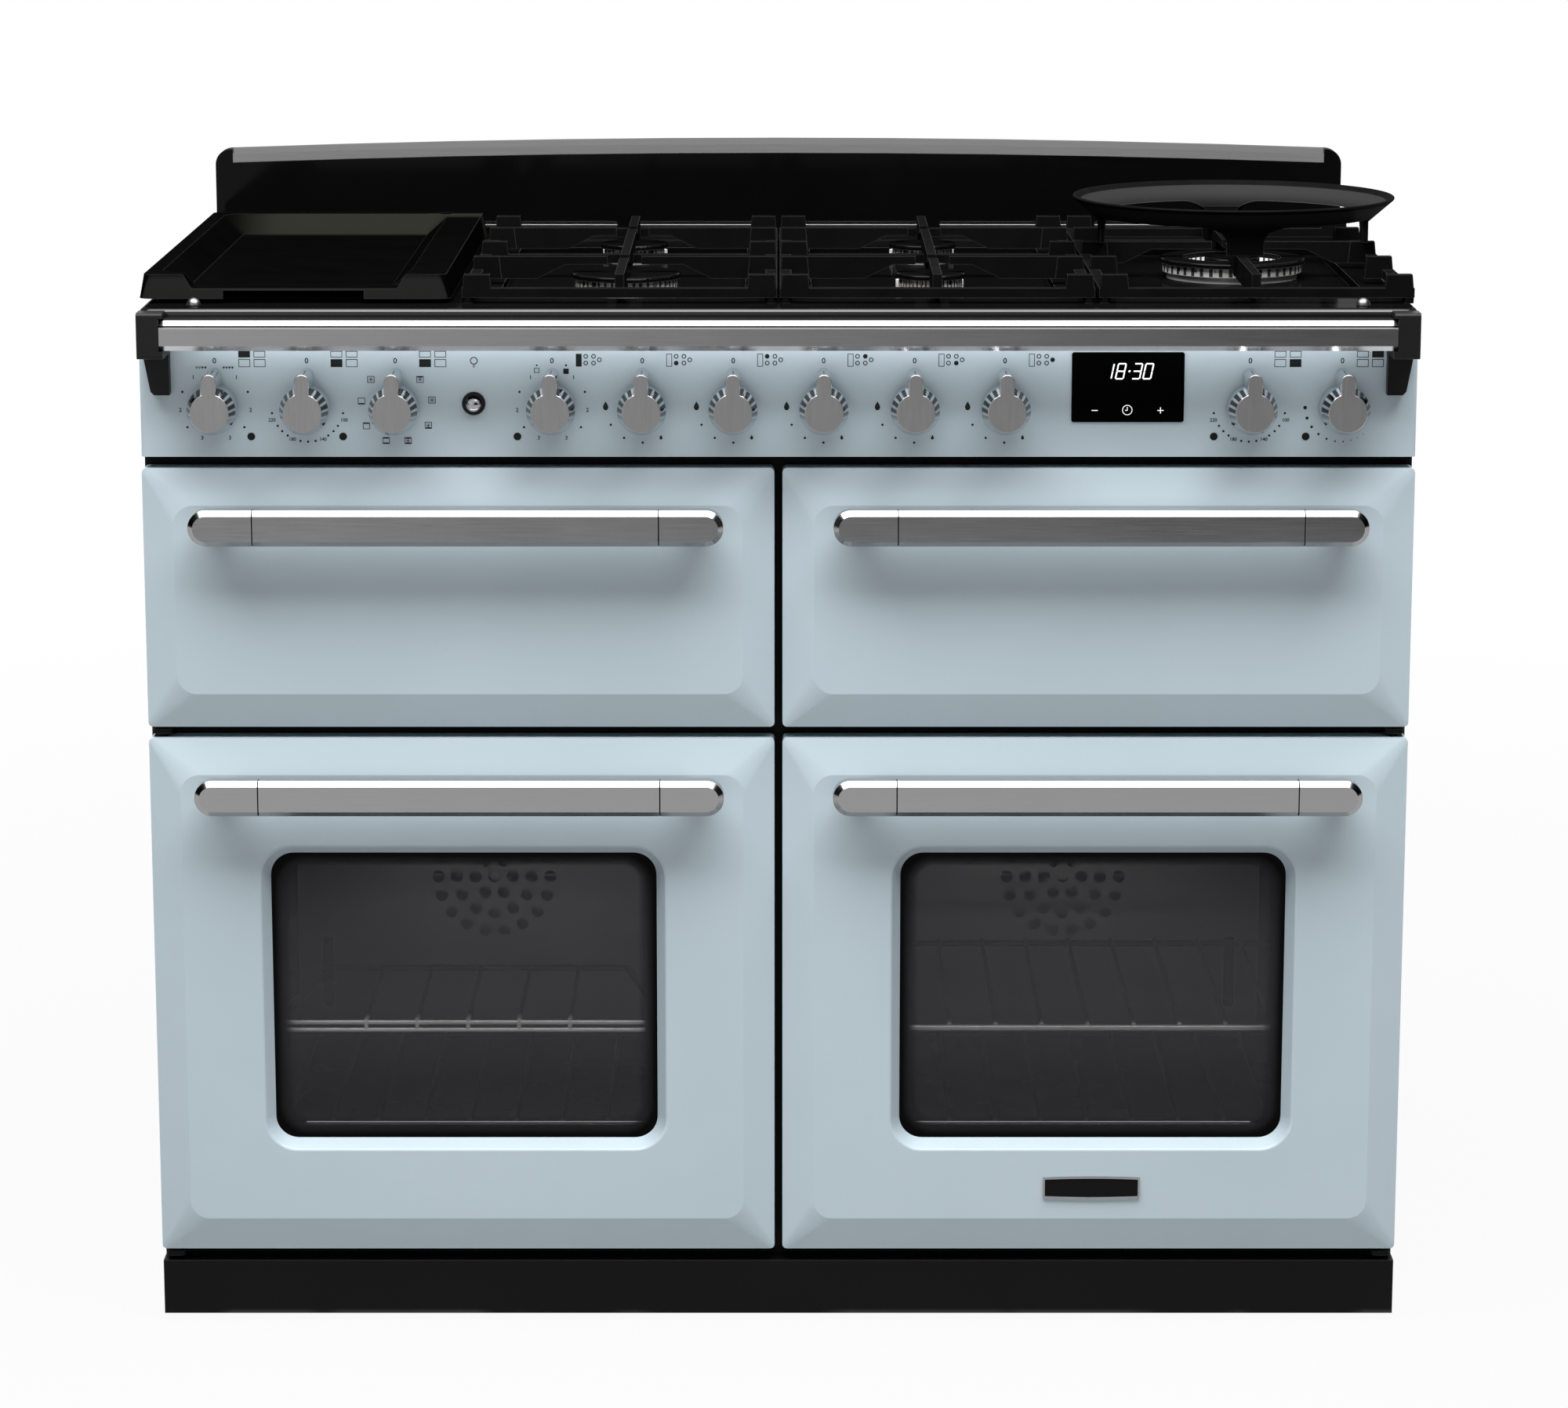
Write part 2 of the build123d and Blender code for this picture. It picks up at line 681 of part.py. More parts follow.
def oven_door(side):
    """Door pressing with the rolled window rim and the pin holes of the hinge."""
    panel = pressing(side, LOWER_Z0, LOWER_Z1)
    x = side * FRONT_MID
    cut = WIN_RIM + WIN_LAND
    panel -= plate(WIN_W + 2 * cut, WIN_H + 2 * cut, WIN_R + cut, x, WIN_Z, -FIELD_RISE, SHEET - FIELD_RISE)
    panel += window_rim(side)
    holes = []
    for z in (LOWER_Z0, LOWER_Z1):
        holes.append(disc(side * HINGE_X, HINGE_Y, z - FLANGE, z + FLANGE, PIN_R + BUSH_HOLE_GAP))
    return panel - holes


def door_liner(side):
    """Inner door panel with the glass opening and the two hinge bushes."""
    x = side * FRONT_MID
    z = (LOWER_Z0 + LOWER_Z1) / 2
    inset = SHEET + SEAT_GAP
    width = FRONT_W - 2 * inset
    height = LOWER_H - 2 * inset
    y0 = BUSH_CLEAR + SHEET
    tray = plate(width, height, EDGE_R - inset, x, z, y0, FRONT_DEPTH)
    tray -= plate(width - 2 * SHEET, height - 2 * SHEET, SHEET, x, z, y0, FRONT_DEPTH - SHEET)
    tray -= plate(WIN_W, WIN_H, WIN_R, x, WIN_Z, FRONT_DEPTH - SHEET, FRONT_DEPTH)
    axis = side * HINGE_X
    for z_end, way in ((LOWER_Z0 + inset, 1), (LOWER_Z1 - inset, -1)):
        half = BUSH_W / 2
        bush = block(axis - half, axis + half, y0, FRONT_DEPTH - SHEET, z_end, z_end + way * BUSH_H)
        tray += bush
        tray -= disc(axis, HINGE_Y, z_end, z_end + way * (PIN_L + SHEET), PIN_R + RUN_GAP)
    return tray


def door_seal(side):
    """Loop of woven seal round the mouth of the oven, on the door."""
    x = side * FRONT_MID
    y1 = FRAME_Y - SEAL_PRESS
    width = OVEN_W + 2 * SEAL_REACH
    height = OVEN_H + 2 * SEAL_REACH
    outer = plate(width + SEAL_W, height + SEAL_W, OPEN_R + SEAL_REACH, x, OVEN_MID_Z, FRONT_DEPTH, y1)
    inner = plate(width - SEAL_W, height - SEAL_W, OPEN_R, x, OVEN_MID_Z, FRONT_DEPTH, y1)
    return outer - inner


def panes(side):
    """Outer and inner pane of an oven door."""
    x = side * FRONT_MID
    width = WIN_W + 2 * PANE_LAP
    height = WIN_H + 2 * PANE_LAP
    y_out = WIN_SINK - FIELD_RISE + SEAT_GAP
    y_in = FRONT_DEPTH - SHEET - SEAT_GAP
    outer = plate(width, height, WIN_R, x, WIN_Z, y_out, y_out + PANE_T)
    inner = plate(width, height, WIN_R, x, WIN_Z, y_in - PANE_T, y_in)
    return outer, inner


def upper_front(side):
    """Pressed front and back cover of the grill or the drawer."""
    inset = SHEET + SEAT_GAP
    shell = pressing(side, UPPER_Z0, UPPER_Z1)
    cover = plate(FRONT_W - 2 * inset, UPPER_H - 2 * inset, EDGE_R - inset, side * FRONT_MID,
                  (UPPER_Z0 + UPPER_Z1) / 2, FRONT_DEPTH - SHEET, FRONT_DEPTH)
    return shell, cover


def handle(side, z):
    """Flat bar between two end castings that stand on the raised field."""
    x = side * FRONT_MID
    y0 = -HANDLE_FRONT
    y1 = y0 + HANDLE_T
    bar_l = HANDLE_L - 2 * HANDLE_END
    bar = block(x - bar_l / 2, x + bar_l / 2, y0, y1, z - HANDLE_H / 2, z + HANDLE_H / 2)
    bar = chamfer(bar.edges().filter_by(Axis.X).group_by(Axis.Y)[0], HANDLE_EDGE)
    bar = chamfer(bar.faces().sort_by(Axis.X)[0].edges(), HANDLE_SEAM)
    bar = chamfer(bar.faces().sort_by(Axis.X)[-1].edges(), HANDLE_SEAM)
    pieces = [bar]
    for way in (-1, 1):
        tip = x + way * HANDLE_L / 2
        seam = tip - way * HANDLE_END
        centre = tip - way * HANDLE_H / 2
        outline = (Pos(centre, z) * Circle(HANDLE_H / 2)
                   + Pos((centre + seam) / 2, z) * Rectangle(abs(centre - seam), HANDLE_H))
        end = extrude(front_plane(y1) * outline, HANDLE_T)
        face = end.faces().sort_by(Axis.Y)[0]
        rim = [e for e in face.edges() if abs(e.center().X - seam) > HANDLE_SEAM]
        end = chamfer(rim, HANDLE_EDGE)
        seam_face = end.faces().sort_by(Axis.X)[0 if way > 0 else -1]
        end = chamfer(seam_face.edges(), HANDLE_SEAM)
        post_x = tip - way * POST_INSET
        post = front_plane(-FIELD_RISE, post_x, z) * SlotOverall(POST_W, POST_H)
        pieces.append(end + extrude(post, -y1 - FIELD_RISE))
    return pieces


def hinge_bracket(side, z_mid, way):
    """Angle on the front frame with the hinge pin of an oven door; way +1 points the pin up."""
    axis = side * HINGE_X
    z0 = z_mid - HINGE_PLATE_T / 2
    z1 = z_mid + HINGE_PLATE_T / 2
    half = HINGE_PLATE_W / 2
    arm = block(axis - half, axis + half, HINGE_Y - HINGE_PLATE_REACH, FRAME_Y, z0, z1)
    arm = fillet(arm.edges().filter_by(Axis.Z).group_by(Axis.Y)[0], HINGE_PLATE_REACH - SHEET)
    foot = z0 if way > 0 else z1
    leg = block(axis - half, axis + half, FRAME_Y - HINGE_LEG_T, FRAME_Y, foot, foot - way * HINGE_LEG)
    top = z1 if way > 0 else z0
    door_edge = LOWER_Z0 if way > 0 else LOWER_Z1
    pin = disc(axis, HINGE_Y, top, door_edge + way * (SHEET + PIN_L), PIN_R)
    return arm + leg + pin


# Handrail

def handrail():
    """Hollow rail with sloped edges, the larger one on top."""
    x = FRONT_X1 - BRACKET_W - HOB_IN + BRACKET_LAP

    def bar(inset):
        y0 = -RAIL_FRONT + inset
        body = block(-x, x, y0, -RAIL_FRONT + RAIL_T - inset, RAIL_Z0 + inset, RAIL_Z0 + RAIL_H - inset)
        front = body.edges().filter_by(Axis.X).group_by(Axis.Y)[0].sort_by(Axis.Z)
        body = chamfer(front[-1], RAIL_TOP - inset)
        front = body.edges().filter_by(Axis.X).group_by(Axis.Y)[0].sort_by(Axis.Z)
        return chamfer(front[0], RAIL_FOOT - inset)

    return bar(0.0) - bar(RAIL_WALL)


def handrail_bracket(side):
    """Moulded end bracket: head round the rail end, tapered leg on the fascia."""
    x1 = FRONT_X1 - HOB_IN
    x0 = x1 - BRACKET_W
    head = block(side * x0, side * x1, -RAIL_FRONT, -HOB_FRONT - SEAT_GAP, BRACKET_HEAD_Z, BRACKET_TOP)
    head = fillet(head.edges().filter_by(Axis.X).group_by(Axis.Y)[0], BRACKET_EDGE)
    neck = block(side * x0, side * x1, -HOB_FRONT - SEAT_GAP, 0, BRACKET_HEAD_Z, FASCIA_Z1 - SEAT_GAP)
    leg = make_face(Polyline(
        (side * x0, BRACKET_HEAD_Z), (side * x1, BRACKET_HEAD_Z),
        (side * (x1 - BRACKET_TAPER), BRACKET_FOOT + BRACKET_EDGE),
        (side * (x1 - BRACKET_TAPER - BRACKET_EDGE), BRACKET_FOOT), (side * x0, BRACKET_FOOT), close=True))
    leg = extrude(front_plane(0) * leg, BRACKET_LEG_T)
    socket = block(side * (x0 - SEAT_GAP), side * (x0 + BRACKET_LAP + SEAT_GAP), -RAIL_FRONT - BRACKET_EDGE,
                   -RAIL_FRONT + RAIL_T + SEAT_GAP, RAIL_Z0 - SEAT_GAP, RAIL_Z0 + RAIL_H + SEAT_GAP)
    return head + neck + leg - socket


# Hob

def hob_tray():
    """Pressed hob top with burner wells, the zone opening and turned-down edges."""
    y0 = -HOB_FRONT
    y1 = SPLASH_Y - SEAT_GAP
    middle = (y0 + y1) / 2

    def skin(inset):
        body = slab(2 * (HOB_HALF - inset), y1 - y0 - 2 * inset, HOB_R - inset, 0, middle, FASCIA_Z1,
                    HOB_Z - inset)
        return fillet(body.faces().sort_by(Axis.Z)[-1].edges(), HOB_EDGE - inset)

    tray = skin(0.0) - skin(SHEET)
    well_mid = WELL_Y0 + WELL_L / 2
    for x0 in (-WELL_X0 - WELL_W, WELL_X0, WOK_WELL_X0):
        x = x0 + WELL_W / 2
        tray += slab(WELL_W + 2 * SHEET, WELL_L + 2 * SHEET, WELL_R + SHEET, x, well_mid,
                     WELL_FLOOR - SHEET, HOB_Z - SHEET)
        tray -= slab(WELL_W, WELL_L, WELL_R, x, well_mid, WELL_FLOOR, HOB_Z)
    for x, y, cap_r, kind in burners():
        neck = WOK_CUP_R if kind == "wok" else CUP_NECK_R
        tray -= disc(x, y, FASCIA_Z1, HOB_Z, neck + CUP_HOLE_GAP)
    glass_x = -(GLASS_X0 + GLASS_X1) / 2
    glass_y = (GLASS_Y0 + GLASS_Y1) / 2
    tray -= slab(GLASS_X0 - GLASS_X1 - 2 * GLASS_LAP, GLASS_Y1 - GLASS_Y0 - 2 * GLASS_LAP, GLASS_R, glass_x,
                 glass_y, FASCIA_Z1, HOB_Z)
    for side in (-1, 1):
        tray += Pos(side * STUD_X, STUD_Y, HOB_Z) * (Sphere(STUD_R) & Pos(0, 0, STUD_R / 2) * Box(
            2 * STUD_R, 2 * STUD_R, STUD_R))
    return tray


def burners():
    """Centre, cap radius and kind of each burner."""
    return [(-PAIR_X, FRONT_ROW, CAP_BIG_R, "plain"), (-PAIR_X, REAR_ROW, CAP_MID_R, "plain"),
            (PAIR_X, REAR_ROW, CAP_MID_R, "plain"), (PAIR_X, FRONT_ROW, CAP_MID_R, "plain"),
            (WOK_X, WOK_Y, CAP_WOK_R, "wok")]


def burner_cup(x, y, cap_r, kind):
    """Cast cup on the well floor with its mixing neck under the hob."""
    neck_r = WOK_CUP_R if kind == "wok" else CUP_NECK_R
    cup = disc(x, y, WELL_FLOOR, WELL_FLOOR + CUP_H, cap_r - CUP_STEP)
    cup += disc(x, y, WELL_FLOOR - CUP_NECK_H, WELL_FLOOR, neck_r)
    return cup - disc(x, y, WELL_FLOOR - CUP_NECK_H + SHEET, WELL_FLOOR + CUP_H, CUP_BORE_R)


def port_ring(x, y, z0, outer_r, inner_r):
    """Flame ring with open-topped ports round its rim."""
    ring = disc(x, y, z0, z0 + HEAD_H, outer_r) - disc(x, y, z0, z0 + HEAD_H, inner_r)
    ports = []
    for i in range(PORTS):
        cut = Pos(outer_r, 0, z0 + HEAD_H - PORT_H / 2) * Box(HEAD_WALL, PORT_W, PORT_H)
        ports.append(Pos(x, y, 0) * Rot(0, 0, i * 360 / PORTS) * cut)
    return ring - ports


def burner_head(x, y, cap_r, kind):
    """Aluminium flame spreader, with a second ring for the wok burner."""
    z0 = WELL_FLOOR + CUP_H
    outer_r = cap_r - HEAD_STEP
    if kind == "plain":
        return [port_ring(x, y, z0, outer_r, CUP_BORE_R)]
    floor = z0 + SHEET + SHEET
    ring = port_ring(x, y, z0, outer_r, outer_r - WOK_RING_W)
    ring += disc(x, y, z0, floor, outer_r) - disc(x, y, z0, floor, CUP_BORE_R)
    ring += port_ring(x, y, z0, WOK_INNER_R - HEAD_STEP, CUP_BORE_R)
    return [ring]


def burner_cap(x, y, cap_r, kind):
    """Enamelled cap with a rolled edge; the wok burner has a ring and a centre cap."""
    z0 = WELL_FLOOR + CUP_H + HEAD_H

    def lid(radius):
        return fillet(disc(x, y, z0, z0 + CAP_T, radius).edges().sort_by(Axis.Z)[-1], CAP_EDGE)

    if kind == "plain":
        return [lid(cap_r)]
    return [lid(cap_r) - disc(x, y, z0, z0 + CAP_T, cap_r - WOK_RING_W - HEAD_STEP), lid(WOK_INNER_R)]


def electrodes(x, y, cap_r):
    """Spark electrode and flame probe beside a burner."""
    reach = cap_r + SPARK_OUT
    turn = math.sqrt(2) / 2
    pair = []
    for way in (-1, 1):
        ex = x + way * reach * turn
        ey = y + reach * turn
        body = disc(ex, ey, WELL_FLOOR, WELL_FLOOR + SPARK_H, SPARK_R)
        tip_z = WELL_FLOOR + SPARK_H
        pair.append(body + disc(ex, ey, tip_z, tip_z + SPARK_TIP_H, SPARK_TIP_R))
    return pair


def finger(length, cap_r):
    """Support finger drawn along +x: full height at its root, shallow over the burner cap."""
    tip_z = GRATE_Z - FINGER_TIP_H
    flat = length + FINGER_KEEP - cap_r - FINGER_CLEAR
    side = make_face(Polyline(
        (0, GRATE_Z), (length, GRATE_Z), (length, tip_z), (flat, tip_z), (flat - FINGER_EASE, GRATE_BAR_Z0),
        (0, GRATE_BAR_Z0), close=True))
    lying = Plane(origin=(0, FINGER_T / 2, 0), x_dir=(1, 0, 0), z_dir=(0, -1, 0))
    return extrude(lying * side, FINGER_T)


def pan_support(x0, rows):
    """Cast frame with raised lugs and fingers that point at each burner; rows maps y to cap radius."""
    x1 = x0 + GRATE_W
    mid = (x0 + x1) / 2
    parts = []
    for x in (x0, x1 - GRATE_BAR):
        parts.append(block(x, x + GRATE_BAR, GRATE_Y0, GRATE_Y1, GRATE_BAR_Z0, GRATE_BAR_Z1))
    bars = [GRATE_Y0 + GRATE_BAR / 2, MID_ROW, GRATE_Y1 - GRATE_BAR / 2]
    for y in bars:
        if y not in rows:
            parts.append(block(x0, x1, y - GRATE_BAR / 2, y + GRATE_BAR / 2, GRATE_BAR_Z0, GRATE_BAR_Z1))
    lug_shape = make_face(Polyline(
        (0, GRATE_BAR_Z0), (LUG_W, GRATE_BAR_Z0), (LUG_W - LUG_DRAFT, GRATE_Z), (LUG_DRAFT, GRATE_Z),
        close=True))
    for y in bars + [FRONT_ROW, REAR_ROW]:
        for x in (x0, x1 - LUG_W):
            parts.append(extrude(front_plane(y + GRATE_BAR / 2, x) * lug_shape, GRATE_BAR))
    reach = GRATE_W / 2 - FINGER_KEEP - LUG_W + LUG_DRAFT
    for y in rows:
        parts.append(Pos(x0 + LUG_W - LUG_DRAFT, y, 0) * finger(reach, rows[y]))
        parts.append(Pos(x1 - LUG_W + LUG_DRAFT, y, 0) * Rot(0, 0, 180) * finger(reach, rows[y]))
    ends = [bars[0]] + sorted(rows) + [bars[-1]]
    if len(rows) > 1:
        ends.insert(2, MID_ROW)
    for i, y in enumerate(ends):
        if y in rows:
            continue
        for j, way in ((i + 1, 1), (i - 1, -1)):
            if 0 <= j < len(ends) and ends[j] in rows:
                length = abs(ends[j] - y) - FINGER_KEEP
                parts.append(Pos(mid, y, 0) * Rot(0, 0, way * 90) * finger(length, rows[ends[j]]))
    for x in (x0 + GRATE_BAR / 2, x1 - GRATE_BAR / 2):
        for y in (bars[0], bars[-1]):
            parts.append(disc(x, y, HOB_Z, GRATE_BAR_Z0, GRATE_FOOT_R))
    return fuse(parts[0], parts[1:])


def ceramic_zone():
    """Ceramic glass over the hob opening and the two heater dishes under it."""
    x = -(GLASS_X0 + GLASS_X1) / 2
    y = (GLASS_Y0 + GLASS_Y1) / 2
    glass = slab(GLASS_X0 - GLASS_X1, GLASS_Y1 - GLASS_Y0, GLASS_R, x, y, HOB_Z, HOB_Z + GLASS_T)
    pieces = [glass]
    for way in (-1, 1):
        yd = y + way * DISH_PITCH / 2
        dish = disc(x, yd, HOB_Z - DISH_H, HOB_Z, DISH_R)
        pieces.append(dish - disc(x, yd, HOB_Z - DISH_H + DISH_WALL, HOB_Z, DISH_R - DISH_WALL))
    return pieces


def griddle_plate():
    """Cast griddle: drafted walls, sunk basin, pouring lip and recessed foot."""
    z0 = HOB_Z + GLASS_T
    x = -(GRID_X0 + GRID_X1) / 2
    y = (GRID_Y0 + GRID_Y1) / 2
    width = GRID_X0 - GRID_X1
    depth = GRID_Y1 - GRID_Y0
    top = Pos(x, y, GRID_Z) * RectangleRounded(width, depth, GRID_R)
    foot = Pos(x, y, z0) * RectangleRounded(
        width + 2 * GRID_FLARE, depth + 2 * GRID_FLARE, GRID_R + GRID_FLARE)
    body = loft([foot, top], ruled=True)
    mouth_x = x + (GRID_RIM - GRID_RIM_RIGHT) / 2
    mouth_w = width - GRID_RIM - GRID_RIM_RIGHT
    mouth_d = depth - 2 * GRID_RIM
    mouth = Pos(mouth_x, y, GRID_Z) * RectangleRounded(mouth_w, mouth_d, GRID_BASIN_R)
    floor = Pos(mouth_x, y, z0 + GRID_FLOOR) * RectangleRounded(
        mouth_w - 2 * GRID_WALL_RUN, mouth_d - 2 * GRID_WALL_RUN, GRID_BASIN_R - GRID_WALL_RUN)
    body -= loft([floor, mouth], ruled=True)
    lip_z = GRID_Z - DIP_DEPTH
    lip = FilletPolyline(
        (-DIP_X0 - DIP_SLOPE - DIP_SLOPE, GRID_Z), (-DIP_X0 - DIP_SLOPE, GRID_Z), (-DIP_X0, lip_z),
        (-DIP_X1, lip_z), (-DIP_X1 + DIP_SLOPE, GRID_Z), (-DIP_X1 + DIP_SLOPE + DIP_SLOPE, GRID_Z),
        radius=DIP_SOFT)
    cover = Polyline(lip @ 1, (-DIP_X1 + DIP_SLOPE + DIP_SLOPE, GRID_Z + DIP_DEPTH),
                     (-DIP_X0 - DIP_SLOPE - DIP_SLOPE, GRID_Z + DIP_DEPTH), lip @ 0)
    cut_y = GRID_Y0 + GRID_RIM + GRID_WALL_RUN
    body -= extrude(front_plane(cut_y) * make_face(lip.edges() + cover.edges()), cut_y + HOB_FRONT)
    body -= block(-UNDER_X0, -UNDER_X1, GRID_Y0 - GRID_FLARE, GRID_Y0 + UNDER_T, z0, z0 + UNDER_H)
    hook_x = -GRID_X1 - GRID_RIM_RIGHT - GRID_HOOK_IN
    body -= disc(hook_x, GRID_Y1 - GRID_RIM, z0 + UNDER_H + UNDER_T, GRID_Z, GRID_HOOK_R)
    return body


def wok_ring():
    """Cast wok ring: sloped band on four legs with arched openings between them."""
    profile = make_face(Polyline(
        (WOK_RIM_R, WOK_RIM_Z), (WOK_LEG_R, WOK_LEG_Z), (WOK_LEG_R, GRATE_Z),
        (WOK_LEG_R - WOK_WALL, GRATE_Z), (WOK_LEG_R - WOK_WALL, WOK_LEG_Z),
        (WOK_RIM_R - WOK_WALL, WOK_RIM_Z), close=True))
    profile = fillet(profile.vertices().group_by(Axis.Y)[-1], WOK_EDGE)
    ring = revolve(Plane.XZ * profile, Axis.Z)
    leg_turn = math.asin(WOK_LEG_W / 2 / WOK_LEG_R)
    span = 2 * WOK_LEG_R * math.sin(math.pi / 4 - leg_turn)
    arch_h = WOK_LEG_Z + WOK_WALL - GRATE_Z
    for i in range(4):
        arch = Pos(0, GRATE_Z) * RectangleRounded(span, 2 * arch_h, WOK_ARCH_R)
        cut = extrude(front_plane(0) * arch, WOK_RIM_R)
        ring -= Rot(0, 0, 45 + i * 90) * cut
    return Pos(WOK_X, WOK_Y, 0) * ring


# Splashback

def splash_blank():
    """Slab of the whole upstand with its arched top edge."""
    half = HALF - SPLASH_IN
    arch = ThreePointArc((half, SPLASH_Z_END), (0, SPLASH_Z_MID), (-half, SPLASH_Z_END))
    sides = Polyline((-half, SPLASH_Z_END), (-half, FASCIA_Z1), (half, FASCIA_Z1), (half, SPLASH_Z_END))
    return extrude(front_plane(BODY_DEPTH) * make_face(arch.edges() + sides.edges()), SPLASH_T)


def splashback():
    """Folded upstand with an arched top, rounded corners and vent slots at its foot."""
    half = HALF - SPLASH_IN
    body = splash_blank()
    corners = body.edges().filter_by(Axis.Y).group_by(Axis.Z)[-1]
    body = fillet(corners, SPLASH_R)
    body -= block(-half + SHEET, half - SHEET, SPLASH_Y + SHEET, BODY_DEPTH - SHEET, FASCIA_Z1,
                  SPLASH_Z_END - TRIM_H - SPLASH_R)
    body -= extrude(front_plane(BODY_DEPTH) * trim_face(), SPLASH_T)
    slots = []
    for i in range(VENTS):
        x = (i - (VENTS - 1) / 2) * VENT_PITCH
        slot = front_plane(SPLASH_Y + FLANGE / 2, x, VENT_Z) * SlotOverall(VENT_W, VENT_H)
        slots.append(extrude(slot, FLANGE))
    return body - slots


def trim_face():
    """Strip under the arched top edge that the trim takes up."""
    over = SPLASH_Z_MID - SPLASH_Z_END
    half = HALF - SPLASH_IN
    end_z = SPLASH_Z_MID - over * (TRIM_X / half) ** 2
    top = ThreePointArc((TRIM_X, end_z + TRIM_H), (0, SPLASH_Z_MID + TRIM_H), (-TRIM_X, end_z + TRIM_H))
    foot = ThreePointArc((-TRIM_X, end_z - TRIM_H), (0, SPLASH_Z_MID - TRIM_H), (TRIM_X, end_z - TRIM_H))
    left = Line(top @ 1, foot @ 0)
    right = Line(foot @ 1, top @ 0)
    return make_face(top.edges() + left.edges() + foot.edges() + right.edges())


def splashback_trim():
    """Metal strip let into the top of the splashback, its face leaning back."""
    strip = splash_blank() & extrude(front_plane(BODY_DEPTH) * trim_face(), SPLASH_T)
    top_front = [e for e in strip.edges().group_by(Axis.Y)[0] if e.center().Z > SPLASH_Z_END]
    long_edge = sorted(top_front, key=lambda e: e.length)[-1]
    return chamfer(long_edge, TRIM_SLOPE)


# Controls

def fascia():
    """Control panel sheet with returns and the holes of the controls."""
    x = FRONT_X1
    y1 = FRAME_BACK
    outer = block(-x, x, 0, y1, FASCIA_Z0, FASCIA_Z1)
    outer = fillet(outer.edges().filter_by(Axis.Z).group_by(Axis.Y)[0], EDGE_R)
    inner = block(-x + SHEET, x - SHEET, SHEET, y1, FASCIA_Z0 + SHEET, FASCIA_Z1 - SHEET)
    holes = [tube_y(kx, KNOB_Z, -SHEET, SHEET + SHEET, SPINDLE_HOLE) for kx in KNOB_X]
    holes.append(tube_y(LAMP_X, LAMP_Z, -SHEET, SHEET + SHEET, LAMP_STOP_R + SHEET))
    for nx, nz in neon_places():
        holes.append(tube_y(nx, nz, -SHEET, SHEET + SHEET, NEON_R + RUN_GAP))
    holes.append(plate(CLOCK_BODY_W + 2 * SEAT_GAP, CLOCK_BODY_H + 2 * SEAT_GAP, CLOCK_R, CLOCK_X, CLOCK_Z,
                       -SHEET, SHEET + SHEET))
    return outer - inner - holes


def neon_places():
    """Centres of the neon lenses beside their knobs."""
    return [(KNOB_X[i] + way * NEON_SIDE, KNOB_Z - NEON_DROP) for i, way in NEON_KNOBS]


def neon_lens(x, z):
    """Small lens in the fascia with its lamp body behind."""
    lens = tube_y(x, z, -SEAT_GAP, NEON_L, NEON_R)
    collar = tube_y(x, z, SHEET, SHEET + SHEET, NEON_R + SHEET)
    return lens + collar


def lamp_bezel():
    """Black bush of the lamp button, clipped through the fascia."""
    body = tube_y(LAMP_X, LAMP_Z, -LAMP_BEZEL_H, 0, LAMP_BEZEL_R)
    body = fillet(body.edges().sort_by(Axis.Y)[0], SHEET)
    body += tube_y(LAMP_X, LAMP_Z, 0, SHEET + LAMP_STOP_T, LAMP_STOP_R + SHEET - RUN_GAP)
    return body - tube_y(LAMP_X, LAMP_Z, -LAMP_BEZEL_H, SHEET + LAMP_STOP_T, LAMP_R + SEAT_GAP)


def lamp_button():
    """Domed push button with a stop collar behind the bush."""
    front = -LAMP_BEZEL_H - LAMP_PROUD + LAMP_DOME
    stem = tube_y(LAMP_X, LAMP_Z, front, LAMP_L, LAMP_R)
    dome_r = (LAMP_R ** 2 + LAMP_DOME ** 2) / (2 * LAMP_DOME)
    dome = Pos(LAMP_X, front + dome_r - LAMP_DOME, LAMP_Z) * Sphere(dome_r)
    dome = dome & tube_y(LAMP_X, LAMP_Z, front - LAMP_DOME, front + SHEET, LAMP_R)
    collar_y = SHEET + LAMP_STOP_T + SEAT_GAP
    collar = tube_y(LAMP_X, LAMP_Z, collar_y, collar_y + LAMP_STOP_T, LAMP_STOP_R)
    return stem + dome + collar


def lamp_switch():
    """Switch body behind the lamp button, open at the front for its stem."""
    y0 = SHEET
    y1 = LAMP_L + LAMP_TRAVEL + SHEET + SHEET
    body = tube_y(LAMP_X, LAMP_Z, y0, y1, SWITCH_R - SHEET)
    return body - tube_y(LAMP_X, LAMP_Z, y0, y1 - SHEET, LAMP_STOP_R + SHEET + SHEET)


def clock_display():
    """Clock module: glass face on the fascia, body behind it."""
    face = plate(CLOCK_W, CLOCK_H, CLOCK_R, CLOCK_X, CLOCK_Z, -CLOCK_PROUD, 0)
    return face + plate(CLOCK_BODY_W, CLOCK_BODY_H, CLOCK_R, CLOCK_X, CLOCK_Z, 0, CLOCK_BODY_D)


